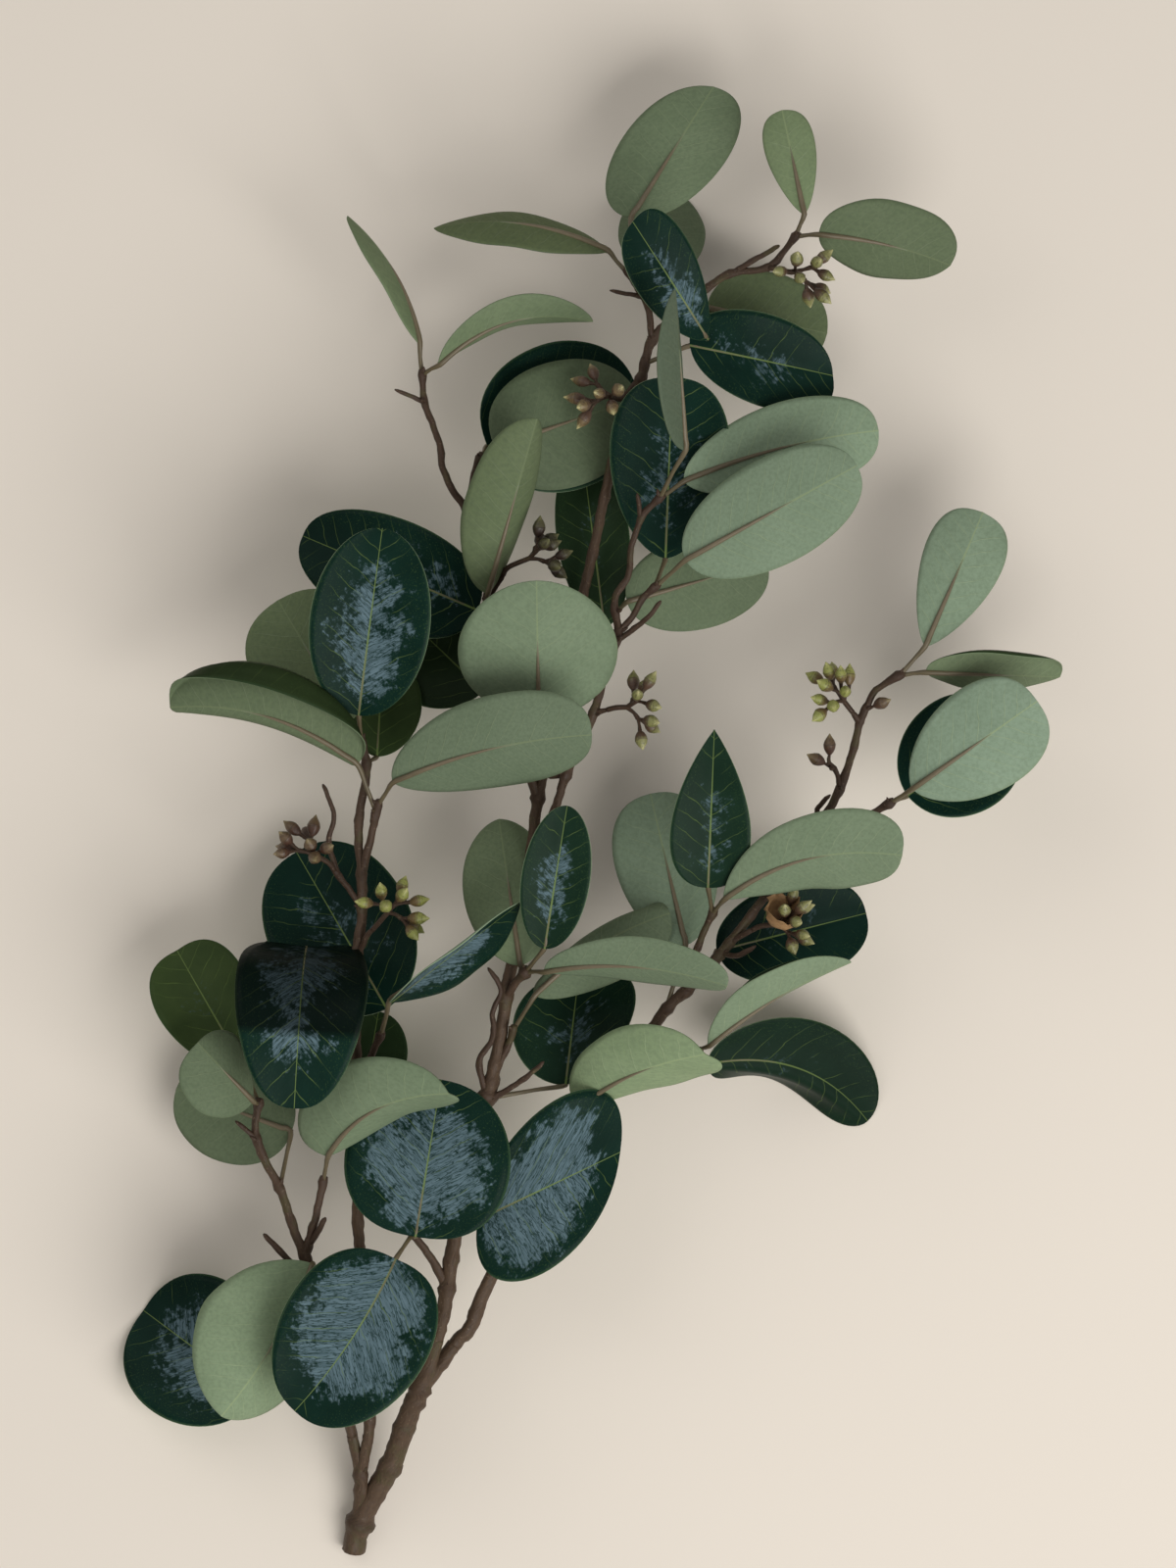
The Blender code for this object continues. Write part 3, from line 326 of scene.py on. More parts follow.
# Halves of a blade that roll over, by shoot and leaf. For each side (-1 left or 1 right of its way): where
# from rib to rim the turn starts, how wide it is, its degrees (towards the viewer if positive) and how far
# the half stretches.
CURLS = {
    ("shoot_left", 6): {1: (0.58, 0.14, 172, 1.25), -1: (0.08, 0.24, -100, 1.0)},
    ("shoot_middle", 7): {-1: (0.2, 0.3, -95, 1.0)},
    ("shoot_right", 5): {1: (0.15, 0.3, -95, 1.0)},
    ("shoot_right", 6): {1: (0.1, 0.25, -95, 1.0)},
    ("shoot_right_tip", 1): {-1: (0.6, 0.4, 110, 1.0)},
}
BOWS = {("shoot_left", 6): -8}  # extra sideways bow of a blade in millimetres
# Blades that lean over so far that the part before the crease lies in shade, which is painted into its colour:
# share of the crease, light kept.
CREASES = {("shoot_left", 2): (0.74, 0.28)}

FLOOR_COLOUR = (0.8, 0.735, 0.65)
FRAME_WIDTH, FRAME_HEIGHT = 1200, 1600  # pixels of the photo, and map units
MID_HEIGHT = 60  # millimetres above the surface, where a map unit is one pixel
CAMERA_HEIGHT = 4.0  # metres


def place(x, y, height):
    """Point of the frame from map x and y and a height in millimetres."""
    return Vector((x * MAP_UNIT, -y * MAP_UNIT, height * MM)) + MAP_ORIGIN


class Value:
    """A node's output that can be reckoned with like a number."""

    def __init__(self, graph, socket):
        self.graph, self.socket = graph, socket

    def __add__(self, other):
        return self.graph.math("ADD", self, other)

    def __sub__(self, other):
        return self.graph.math("SUBTRACT", self, other)

    def __rsub__(self, other):
        return self.graph.math("SUBTRACT", other, self)

    def __mul__(self, other):
        return self.graph.math("MULTIPLY", self, other)

    def __truediv__(self, other):
        return self.graph.math("DIVIDE", self, other)

    def __pow__(self, other):
        return self.graph.math("POWER", self, other)

    def __abs__(self):
        return self.graph.math("ABSOLUTE", self)


class Graph:
    """Short calls that build one material's node tree."""

    def __init__(self, name, roughness=0.5, specular=0.5):
        self.material = bpy.data.materials.new(name)
        self.material.use_nodes = True
        self.tree = self.material.node_tree
        self.shader = self.tree.nodes["Principled BSDF"]
        self.shader.inputs["Roughness"].default_value = roughness
        self.shader.inputs["Specular IOR Level"].default_value = specular

    def put(self, value, socket):
        if isinstance(value, Value):
            self.tree.links.new(value.socket, socket)
        else:
            socket.default_value = value

    def node(self, kind, values, output=0):
        """A new node with values on its first inputs."""
        node = self.tree.nodes.new(kind)
        for value, socket in zip(values, node.inputs):
            self.put(value, socket)
        return node, Value(self, node.outputs[output])

    def math(self, operation, *values):
        node, result = self.node("ShaderNodeMath", values)
        node.operation = operation
        return result

    def attribute(self, name):
        """The three numbers of a point field."""
        node, vector = self.node("ShaderNodeAttribute", (), "Vector")
        node.attribute_name = name
        parts, _ = self.node("ShaderNodeSeparateXYZ", (vector,))
        return tuple(Value(self, output) for output in parts.outputs)

    def point(self, x, y, z):
        return self.node("ShaderNodeCombineXYZ", (x, y, z))[1]

    def noise(self, vector, scale, detail=3.0, roughness=0.5):
        node, result = self.node("ShaderNodeTexNoise", (vector,))
        for name, value in (("Scale", scale), ("Detail", detail), ("Roughness", roughness)):
            node.inputs[name].default_value = value
        return result

    def ramp(self, value, low, high, start=0.0, end=1.0):
        """Smooth step from start to end as value goes from low to high."""
        node, result = self.node("ShaderNodeMapRange", (value, low, high, start, end))
        node.interpolation_type = "SMOOTHSTEP"
        return result

    def stripe(self, value):
        """Distance from the middle of the whole step that value is in, 0 to 0.5."""
        return abs(self.math("FRACT", value) - 0.5)

    def mix(self, factor, first, second):
        node = self.tree.nodes.new("ShaderNodeMix")
        node.data_type = "RGBA"
        self.put(factor, node.inputs[0])
        for colour, socket in ((first, node.inputs[6]), (second, node.inputs[7])):
            self.put(colour if isinstance(colour, Value) else (*colour, 1), socket)
        return Value(self, node.outputs[2])

    def colour(self, value):
        self.put(value, self.shader.inputs["Base Color"])

    def roughness(self, value):
        self.put(value, self.shader.inputs["Roughness"])

    def bump(self, height, distance, strength):
        node, result = self.node("ShaderNodeBump", ())
        for name, value in (("Strength", strength), ("Distance", distance), ("Height", height)):
            self.put(value, node.inputs[name])
        self.put(result, self.shader.inputs["Normal"])


def leaf_veins(graph, spacing):
    """(side veins, fine lines between them, streaks, branching cracks) from a leaf's own millimetres."""
    along, across, seed = graph.attribute("leaf_mm")
    side = abs(across)
    slant = along - side * VEIN_SLANT
    half_seed = seed + graph.math("SIGN", across) * 2.7
    spot = graph.point(slant, side, half_seed)
    sway = graph.noise(spot, 0.12, 2.0)
    main = graph.ramp(graph.stripe(slant / spacing + sway * 0.6) * spacing, 0.06, 0.26, 1.0, 0.0)
    lengthwise = graph.point(slant, side * 0.16, half_seed)
    streaks = graph.noise(lengthwise, 0.75, 4.0, 0.62)
    ridge = abs(graph.noise(lengthwise, 0.62, 3.0, 0.6) - 0.5)
    cracks = graph.ramp(ridge, 0.0, 0.04, 1.0, 0.0)
    fine = graph.ramp(graph.stripe(slant / FINE_VEIN_SPACING + sway * 4.0), 0.04, 0.14, 1.0, 0.0)
    broken = graph.ramp(graph.noise(spot, 0.45, 3.0, 0.6), 0.38, 0.58)
    return main, fine * broken, streaks, cracks


def leaf_fields(graph):
    """(point on the blade, distance across, share of its length, reach to the rim, the three looks)."""
    along, across, seed = graph.attribute("leaf_mm")
    share, reach, _ = graph.attribute("leaf_share")
    return graph.point(along, across, seed), across, share, reach, graph.attribute("leaf_look")


def rib_line(graph, across, share, widths, core):
    """1 on the rib and 0 off it. Its half width goes from the first to the second of widths, in millimetres."""
    return graph.ramp(abs(across) / graph.ramp(share, 0.0, 1.0, *widths), core, 1.0, 1.0, 0.0)


def leaf_upper_material():
    """Dark upper side: a painted reflection, a blue-grey sheen over the middle of the blade broken by fine
    lines; yellow-green rib and side veins.
    """
    graph = Graph("leaf_upper", specular=0.06)
    flat, across, share, reach, (warmth, shade, reflection_amount) = leaf_fields(graph)
    main, lines, streaks, cracks = leaf_veins(graph, UPPER_VEIN_SPACING)
    blotches = graph.noise(flat, 0.07, 4.0, 0.6)
    grain = graph.noise(flat, 0.45, 4.0, 0.65)
    mottle = graph.noise(flat, 0.2, 3.0, 0.6)

    cool = graph.mix(blotches, (0.002, 0.012, 0.008), (0.007, 0.03, 0.021))
    olive = graph.mix(blotches, (0.03, 0.054, 0.016), (0.078, 0.115, 0.034))
    green = graph.mix(warmth, cool, olive)

    # Mask of the painted reflection, a blue-grey sheen on the upper side: it fades towards the rim and the ends
    # of the blade and grows with the leaf's reflection amount.
    edge = reach**2.2 + abs(share * 2.0 - 0.85) ** 3.0
    body = blotches + (streaks - 0.5) * 0.35 + (grain - 0.5) * 0.9 + (mottle - 0.5) * 0.7
    body = body - edge * 0.7 + (reflection_amount - 0.5) * 0.8
    painted_reflection = graph.ramp(body, 0.32, 0.56) * graph.ramp(reflection_amount, 0.0, 0.6, 0.3, 1.0)
    gaps = graph.math("MAXIMUM", cracks * 0.9, lines * 0.75)
    broken_reflection = painted_reflection * (1.0 - gaps)
    # Colour of the painted reflection, broken by cracks and fine lines.
    reflection_colour = graph.mix(graph.ramp(streaks, 0.25, 0.75), (0.062, 0.105, 0.12), (0.13, 0.198, 0.232))
    colour = graph.mix(broken_reflection, green, reflection_colour)

    specks = graph.ramp(graph.noise(flat, 1.5, 2.0, 0.6), 0.58, 0.68)
    colour = graph.mix(specks * graph.ramp(reach, 0.3, 0.9, 0.04, 0.45), colour, (0.05, 0.095, 0.03))
    fade = graph.ramp(reach, 0.45, 1.0, 0.6, 0.1)
    kept = graph.ramp(graph.noise(flat, 0.06, 2.0), 0.4, 0.56)
    side_veins = main * fade * kept
    colour = graph.mix(side_veins, colour, (0.12, 0.18, 0.05))
    rib = rib_line(graph, across, share, (0.6, 0.2), 0.55)
    colour = graph.mix(rib * 0.8, colour, (0.17, 0.24, 0.075))
    rim = graph.ramp(reach, 0.96, 0.99)
    colour = graph.mix(rim * 0.4, colour, (0.07, 0.13, 0.06))
    # Each leaf's light kept darkens it towards black: partly its own tone, partly painted shade.
    graph.colour(graph.mix(shade, BLACK, colour))

    graph.roughness(graph.ramp(broken_reflection, 0.0, 1.0, 0.4, 0.62))
    graph.bump(side_veins * 0.5 + streaks * 0.35 - rib * 0.6, 0.3 * MM, 0.6)
    return graph.material


def leaf_under_material():
    """Matte sage underside with faint veins."""
    graph = Graph("leaf_under", specular=0.2)
    flat, across, share, reach, (warmth, shade, _) = leaf_fields(graph)
    main, lines, streaks, _ = leaf_veins(graph, UNDER_VEIN_SPACING)
    blotches = graph.noise(flat, 0.05, 3.0, 0.6)
    grain = graph.noise(flat, 0.7, 3.0, 0.6)

    sage = graph.mix(blotches, (0.208, 0.29, 0.2), (0.272, 0.362, 0.262))
    warm = graph.mix(blotches, (0.2, 0.272, 0.112), (0.27, 0.34, 0.155))
    colour = graph.mix(warmth, sage, warm)
    colour = graph.mix(graph.ramp(grain, 0.35, 0.7, 0.0, 0.3), colour, (0.12, 0.165, 0.1))
    colour = graph.mix(lines * 0.1, colour, (0.3, 0.37, 0.26))
    side_veins = main * graph.ramp(reach, 0.4, 1.0, 0.5, 0.05)
    colour = graph.mix(side_veins, colour, (0.33, 0.41, 0.24))
    rib = rib_line(graph, across, share, (1.0, 0.3), 0.5)
    colour = graph.mix(rib * 0.6, colour, (0.31, 0.385, 0.2))
    rim = graph.ramp(reach, 0.965, 0.99)
    colour = graph.mix(rim * 0.5, colour, (0.24, 0.32, 0.18))
    # Each leaf's light kept darkens it towards black: partly its own tone, partly painted shade.
    graph.colour(graph.mix(shade, BLACK, colour))

    graph.roughness(graph.ramp(streaks, 0.2, 0.8, 0.62, 0.8))
    graph.bump(side_veins + streaks * 0.4 + grain * 0.3, 0.3 * MM, 0.5)
    return graph.material


def bark_material():
    """Brown bark with lengthwise streaks, redder on thin twigs, with patches of olive."""
    graph = Graph("bark", specular=0.2)
    along, around, seed = graph.attribute("stem_mm")
    thickness, collar, _ = graph.attribute("stem_look")
    grain = graph.noise(graph.point(along * 0.16, around, seed), 1.1, 4.0, 0.65)
    spot = graph.point(along, around, seed)
    patches = graph.noise(spot, 0.09, 3.0, 0.6)
    pits = graph.noise(spot, 0.9, 2.0, 0.6)

    twig = graph.mix(grain, (0.016, 0.009, 0.0055), (0.098, 0.06, 0.04))
    stem = graph.mix(grain, (0.025, 0.015, 0.009), (0.14, 0.09, 0.056))
    colour = graph.mix(graph.ramp(thickness, 1.0, 2.6), twig, stem)
    olive = graph.mix(grain, (0.03, 0.026, 0.011), (0.115, 0.098, 0.044))
    colour = graph.mix(graph.ramp(patches, 0.52, 0.66, 0.0, 0.7), colour, olive)
    colour = graph.mix(graph.ramp(pits, 0.62, 0.72, 0.0, 0.6), colour, (0.2, 0.145, 0.095))
    graph.colour(graph.mix(collar * 0.5, colour, (0.045, 0.026, 0.018)))
    graph.roughness(graph.ramp(grain, 0.2, 0.8, 0.36, 0.6))
    graph.bump(grain + pits * 0.3, 0.5 * MM, 0.7)
    return graph.material


def stalk_material():
    """Leaf stalks: brown where they leave the twig, tan and then green where they run into the blade."""
    graph = Graph("leaf_stalk", 0.45)
    along, around, seed = graph.attribute("stem_mm")
    share, _, _ = graph.attribute("stem_look")
    grain = graph.noise(graph.point(along * 0.2, around, seed), 1.2, 3.0, 0.6)
    foot = graph.mix(grain, (0.055, 0.04, 0.02), (0.15, 0.12, 0.06))
    middle = graph.mix(grain, (0.105, 0.084, 0.048), (0.2, 0.16, 0.1))
    end = graph.mix(grain, (0.15, 0.19, 0.11), (0.2, 0.25, 0.15))
    colour = graph.mix(graph.ramp(share, 0.1, 0.55), foot, middle)
    graph.colour(graph.mix(graph.ramp(share, 0.78, 1.0), colour, end))
    graph.bump(grain, 0.3 * MM, 0.5)
    return graph.material


def nut_material(name, base, cap, tip):
    """Gum nut: one colour on the cup, one on the pointed cap and one at its tip, with faint ribs and specks."""
    graph = Graph(name, 0.42)
    share, around, seed = graph.attribute("nut_mm")
    grain = graph.noise(graph.point(share * 2.0, around * 2.2, seed), 1.6, 3.0, 0.6)
    specks = graph.noise(graph.point(share * 9.0, around, seed), 1.5, 2.0)
    shifted = share + (grain - 0.5) * 0.5
    colour = graph.mix(graph.ramp(shifted, 0.3, 0.62), base, cap)
    colour = graph.mix(graph.ramp(shifted, 0.72, 0.98), colour, tip)
    dark = tuple(channel * 0.35 for channel in base)
    colour = graph.mix(graph.ramp(specks, 0.5, 0.68, 0.0, 0.55), colour, dark)
    rim = graph.ramp(abs(share - 0.5), 0.0, 0.035, 0.6, 0.0)
    graph.colour(graph.mix(rim, colour, dark))
    graph.bump(grain, 0.3 * MM, 0.5)
    return graph.material


def husk_material():
    """Dry papery brown, darker where its grain is low, and darker towards its foot."""
    graph = Graph("husk", 0.7)
    share, around, seed = graph.attribute("nut_mm")
    grain = graph.noise(graph.point(share * 3.0, around, seed), 2.2, 4.0, 0.65)
    colour = graph.mix(grain, (0.14, 0.06, 0.022), (0.5, 0.31, 0.14))
    graph.colour(graph.mix(graph.ramp(share, 0.0, 0.3, 0.7, 0.0), colour, (0.06, 0.03, 0.018)))
    graph.bump(grain, 0.4 * MM, 0.8)
    return graph.material


class Form:
    """Collects the points, faces and point data of one piece."""

    def __init__(self, *fields):
        self.points = []
        self.faces = []
        self.slots = []
        self.fields = {field: [] for field in fields}

    def point(self, position, *values):
        self.points.append(position)
        for column, value in zip(self.fields.values(), values):
            column.extend(value)
        return len(self.points) - 1

    def strip(self, first, second, slot, closed=False):
        """Quads between two rows of points."""
        last = len(first) if closed else len(first) - 1
        for index in range(last):
            after = (index + 1) % len(first)
            self.faces.append((first[index], first[after], second[after], second[index]))
            self.slots.append(slot)

    def face(self, corners, slot=0):
        self.faces.append(tuple(corners))
        self.slots.append(slot)

    def finish(self, name, materials, node):
        mesh = bpy.data.meshes.new(name)
        mesh.from_pydata(self.points, [], self.faces)
        mesh.polygons.foreach_set("material_index", self.slots)
        for field, column in self.fields.items():
            data = mesh.attributes.new(field, "FLOAT_VECTOR", "POINT")
            data.data.foreach_set("vector", column)
        form = bmesh.new()
        form.from_mesh(mesh)
        bmesh.ops.recalc_face_normals(form, faces=form.faces)
        form.to_mesh(mesh)
        form.free()
        for material in materials:
            mesh.materials.append(material)
        mesh.shade_smooth()
        piece = bpy.data.objects.new(name, mesh)
        bpy.context.scene.collection.objects.link(piece)
        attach(piece, "root")
        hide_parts(node)
        return piece


def bezier(start, control, end, share):
    return start * (1 - share) ** 2 + control * (2 * share * (1 - share)) + end * share**2


class LeafPath:
    """Centre line and frame of one leaf, from its row of the table."""

    def __init__(self, root, neck, tip, width, outline, side, roll, fold, arch, sway, lean=0.0):
        self.root, self.neck, self.tip = place(*root), place(*neck), place(*tip)
        self.width = width * MM
        self.outline = OUTLINES[outline]
        self.fold = math.radians(fold)
        self.is_pale = side == PALE
        self.along = (self.tip - self.neck).normalized()
        across = self.along.cross(Vector((0, 0, 1))).normalized()
        upward = across.cross(self.along)
        middle = (self.neck + self.tip) / 2
        self.control = middle + upward * (2 * arch * MM) - across * (2 * sway * MM)
        turn = Matrix.Rotation(math.radians(side + roll), 3, self.along)
        self.across, self.upward = turn @ across, turn @ upward
        self.across = self.across + self.along * (lean * math.cos(math.radians(side)))
        self.length = (self.tip - self.neck).length

    def bow(self, distance):
        """Bends the centre line sideways."""
        across = self.along.cross(Vector((0, 0, 1))).normalized()
        self.control = self.control - across * (2 * distance * MM)

    def row(self, share):
        """(centre, across, upward, half width) at a share of the blade."""
        centre = bezier(self.neck, self.control, self.tip, share)
        way = (self.control - self.neck) * (1 - share) + (self.tip - self.control) * share
        bend = self.along.rotation_difference(way.normalized())
        base, tip = self.outline
        widest = base / (base + tip)
        half = (share / widest) ** base * ((1 - share) / (1 - widest)) ** tip * self.width / 2
        narrowest = STALK_RADIUS if share < 0.5 else TIP_HALF_WIDTH
        return centre, bend @ self.across, bend @ self.upward, max(half, narrowest)


def cross_section(half, fold, parts, start, turn, curl):
    """(out, rise, slope) at each part of the way from rib to rim: a curve, and a curl from start on."""
    spots = []
    out = rise = 0.0
    before = 0.0
    run = half / math.cos(fold)
    for part in parts:
        middle = (before + part) / 2
        past_start = min(1.0, max(0.0, middle - start) / turn)
        slope = fold * (0.4 + 1.2 * middle) - curl * past_start
        out += run * (part - before) * math.cos(slope)
        rise += run * (part - before) * math.sin(slope)
        spots.append((out, rise, slope))
        before = part
    return spots


def add_blade(form, path, look, seed, curls, crease):
    """A thin closed blade: upper side, underside and rim."""
    draw = random.Random(f"{SEED} blade {seed}")
    phase = [draw.uniform(0, math.tau) for _ in range(2)]
    waves = [draw.uniform(1.1, 2.2) for _ in range(2)]
    depth = draw.uniform(0.5, 1.1) * MM * min(1.0, path.width / (40 * MM))
    reaches = [(column / BLADE_COLUMNS) ** (0.9 if curls else 1.25) for column in range(BLADE_COLUMNS + 1)]
    toward_viewer = -1 if path.is_pale else 1
    upper, under = [], []
    for index in range(BLADE_ROWS + 1):
        share = (1 - math.cos(math.pi * index / BLADE_ROWS)) / 2
        centre, across, upward, half = path.row(share)
        rows = [], []
        fading = math.sin(math.pi * share) ** 0.3
        warmth, light, reflection_amount = look
        # Before the crease the blade is darkened: painted shade, with less of the painted reflection.
        tone = (warmth, light * crease[1], reflection_amount * 0.6) if share < crease[0] else look
        halves = []
        for sign in (-1, 1):
            start, turn, degrees, stretch = curls.get(sign * toward_viewer, (0.9, 0.1, 0, 1.0))
            rolled = -math.radians(degrees) * toward_viewer * fading
            spots = cross_section(half * stretch, path.fold, reaches, start, turn, rolled)
            halves.append([(sign, reach, *spot) for reach, spot in zip(reaches, spots)])
        for sign, reach, out, rise, slope in halves[0][:0:-1] + halves[1]:
            side = (sign + 1) // 2
            ripple = depth * reach**2 * math.sin(waves[side] * math.tau * share + phase[side])
            rise += ripple * math.sin(math.pi * share)
            rise -= GROOVE_DEPTH * math.exp(-((out / GROOVE_WIDTH) ** 2)) * math.sin(math.pi * share)
            place_on = centre + across * (sign * out) + upward * rise
            facing = upward * math.cos(slope) - across * (sign * math.sin(slope))
            thickness = RIB_THICKNESS + (RIM_THICKNESS - RIB_THICKNESS) * reach
            data = ((share * path.length / MM, sign * reach * half / MM, seed * 11.3),
                    (share, reach, half / MM), tone)
            for row, face in zip(rows, (0.5, -0.5)):
                row.append(form.point(place_on + facing * (face * thickness), *data))
        upper.append(rows[0])
        under.append(rows[1])
    for first, second in zip(upper, upper[1:]):
        form.strip(first, second, 0)
    for first, second in zip(under, under[1:]):
        form.strip(first[::-1], second[::-1], 1)
    for column in (0, -1):
        form.strip([row[column] for row in upper], [row[column] for row in under], 1)
    for end in (0, -1):
        form.strip(upper[end], under[end], 1)


def smooth_route(points, radii, spacing):
    """Points and radii read from a smooth curve through the given ones, about spacing apart."""
    dense, thick = [], []
    count = len(points)
    for index in range(count - 1):
        before = points[max(index - 1, 0)]
        first, second = points[index], points[index + 1]
        after = points[min(index + 2, count - 1)]
        steps = max(2, round((second - first).length / spacing))
        for step in range(steps):
            share = step / steps
            square, cube = share**2, share**3
            dense.append(0.5 * (2 * first + (second - before) * share
                                + (2 * before - 5 * first + 4 * second - after) * square
                                + (3 * first - before - 3 * second + after) * cube))
            thick.append(radii[index] + (radii[index + 1] - radii[index]) * share)
    dense.append(points[-1])
    thick.append(radii[-1])
    return dense, thick


def sweep(form, points, girth, data, sides, seed):
    """A closed tube along points. girth(index, angle) is its radius and data(index) its second field."""
    tangents = []
    for index in range(len(points)):
        ahead = points[min(index + 1, len(points) - 1)] - points[max(index - 1, 0)]
        tangents.append(ahead.normalized())
    side = tangents[0].orthogonal().normalized()
    travelled = 0.0
    rings = []
    for index, (centre, tangent) in enumerate(zip(points, tangents)):
        side = (side - tangent * side.dot(tangent)).normalized()
        other = tangent.cross(side)
        if index:
            travelled += (centre - points[index - 1]).length
        ring = []
        for step in range(sides):
            angle = math.tau * step / sides
            radius = girth(index, angle)
            spot = centre + (side * math.cos(angle) + other * math.sin(angle)) * radius
            around = abs(angle - math.pi) * radius / MM
            ring.append(form.point(spot, (travelled / MM, around, seed), data(index)))
        rings.append(ring)
    for first, second in zip(rings, rings[1:]):
        form.strip(first, second, 0, closed=True)
    form.face(rings[0][::-1])
    form.face(rings[-1])


def add_stalk(form, path, seed):
    """The leaf's stalk, which runs on as a raised rib along the pale side of the blade."""
    points = [path.root, path.root.lerp(path.neck, 0.55)]
    radii = [1.15 * STALK_RADIUS, 0.92 * STALK_RADIUS]
    for share, radius in ((0.0, 1.3), (0.08, 1.3), (0.2, 1.15), (0.35, 0.9), (0.5, 0.58), (0.66, 0.2)):
        centre, _, upward, _ = path.row(share)
        points.append(centre - upward * (RIB_THICKNESS * 0.5 + radius * 0.25 * MM))
        radii.append(radius * STALK_RADIUS)
    route, thick = smooth_route(points, radii, 2.2 * MM)
    count = len(route) - 1
    sweep(form, route, lambda index, angle: thick[index], lambda index: (index / count, 0.0, 0.0),
          TUBE_SIDES, seed=seed * 3.7)


def branch_end(node, index):
    """End point, direction and radius of a branch."""
    first, last = [place(*row[:3]) for row in WOOD[node][index][-2:]]
    return last, (last - first).normalized(), WOOD[node][index][-1][3] * MM


def ends_in_leaves(node, index):
    end = WOOD[node][index][-1][:3]
    return any(leaf[0] == end for leaf in LEAVES.get(node, []))


def branch_points(node, index):
    """Route and radii of one branch. A first branch starts inside the wood that it grows from."""
    rows = WOOD[node][index]
    points = [place(x, y, height) for x, y, height, _ in rows]
    radii = [radius * MM for *_, radius in rows]
    if index == 0 and node in GROWS_FROM:
        foot, way, radius = branch_end(*GROWS_FROM[node])
        points = [foot - way * OVERLAP, foot + way * COUPLING] + points
        radii = [radius * 0.97, radius] + radii
    if ends_in_leaves(node, index):
        points[-1] = points[-1] + (points[-1] - points[-2]).normalized() * TWIG_OVERRUN
    return points, radii


def joints_of(node):
    """Places on a node's wood where side branches and leaves leave it."""
    starts = [place(*rows[0][:3]) for rows in WOOD[node][1:]]
    starts += [place(*leaf[0]) for leaf in LEAVES.get(node, [])]
    return starts


def add_wood(form, node, index):
    """One knobbly branch: swollen at its joints, with scars in between, and rounded or cut at its end."""
    draw = random.Random(f"{SEED} wood {node} {index}")
    points, radii = branch_points(node, index)
    route, thick = smooth_route(points, radii, RING_SPACING)
    count = len(route)
    knobs = []
    for joint in joints_of(node):
        nearest = min(range(count), key=lambda ring: (route[ring] - joint).length)
        if (route[nearest] - joint).length < KNOB_REACH:
            knobs.append((nearest, KNOB_SIZE))
    ring = draw.randint(6, 12)
    while ring < count - 4:
        knobs.append((ring, draw.uniform(0.1, 0.22)))
        ring += draw.randint(8, 20)
    swell = [1 + sum(size * math.exp(-(((ring - at) / KNOB_RINGS) ** 2)) for at, size in knobs)
             for ring in range(count)]
    lean = [Vector([draw.uniform(-1, 1) for _ in range(3)]) * 0.25 * MM for _ in range(count)]
    bumps = [[draw.uniform(-0.05, 0.05) for _ in range(STEM_SIDES)] for _ in range(count)]
    for at in range(2, count - 2):
        route[at] = route[at] + (lean[at] + lean[at - 1]) * 0.5
    twist = draw.uniform(0, math.tau)
    is_free = not ends_in_leaves(node, index)

    def girth(ring, angle):
        size = thick[ring] * swell[ring]
        if is_free and ring > count - 3 and node != "trunk":
            size *= (1.0, 0.8, 0.35)[ring - count + 3]
        corner = 0.06 * math.cos(3 * angle + twist + ring * 0.05)
        return size * (1 + corner + bumps[ring][round(angle / math.tau * STEM_SIDES) % STEM_SIDES])

    def look(ring):
        return thick[ring] / MM, min(1.0, (swell[ring] - 1) * 2.5), 0.0

    sweep(form, route, girth, look, STEM_SIDES, seed=draw.uniform(0, 90))


def add_bud(form, foot, way, length, seed):
    """A small pointed bud."""
    radii = (0.45, 0.62, 0.6, 0.38, 0.1)
    route = [foot + way * (length * step / (len(radii) - 1)) for step in range(len(radii))]
    sweep(form, route, lambda index, angle: radii[index] * length * 0.42,
          lambda index: (1.0, 0.3, 0.0), 6, seed=seed)


def add_buds(form, node):
    """Buds in the forks of the wood and beside the leaf stalks."""
    draw = random.Random(f"{SEED} buds {node}")
    for rows in WOOD[node][1:]:
        foot = place(*rows[0][:3])
        ahead = (place(*rows[1][:3]) - foot).normalized()
        sideways = Vector([draw.uniform(-1, 1) for _ in range(3)]) * 0.7
        way = (ahead + sideways + Vector((0, 0, 0.6))).normalized()
        start = foot + way * rows[0][3] * 0.6 * MM
        add_bud(form, start, way, draw.uniform(3.0, 4.5) * MM, draw.uniform(0, 50))
    for root in sorted({leaf[0] for leaf in LEAVES.get(node, [])}):
        way = Vector((draw.uniform(-0.6, 0.6), draw.uniform(0.2, 1), draw.uniform(0.2, 1))).normalized()
        add_bud(form, place(*root) + way * 0.8 * MM, way, draw.uniform(2.6, 4.0) * MM, draw.uniform(0, 50))


NUT_LENGTH = 9.0 * MM
NUT_STALK_RADIUS = 0.7 * MM
BUNCH_STALK_RADIUS = 1.1 * MM
ARM_RADIUS = 0.9 * MM
NUTS_ON_ARM = 3
NUT_SIDES = 12
HUSK_SIDES = 18
HUSK_SIZE = 9.0 * MM
HUSK_WALL = 0.2 * MM
# Profile of a gum nut: share of its length, radius in mm. The ridge near the middle is the rim of its cup.
NUT_PROFILE = [
    (0.0, 0.75), (0.05, 1.15), (0.13, 1.75), (0.24, 2.3), (0.36, 2.62), (0.45, 2.72), (0.49, 2.78),
    (0.52, 2.6), (0.58, 2.48), (0.68, 2.1), (0.78, 1.5), (0.87, 0.9), (0.94, 0.5), (1.0, 0.16),
]


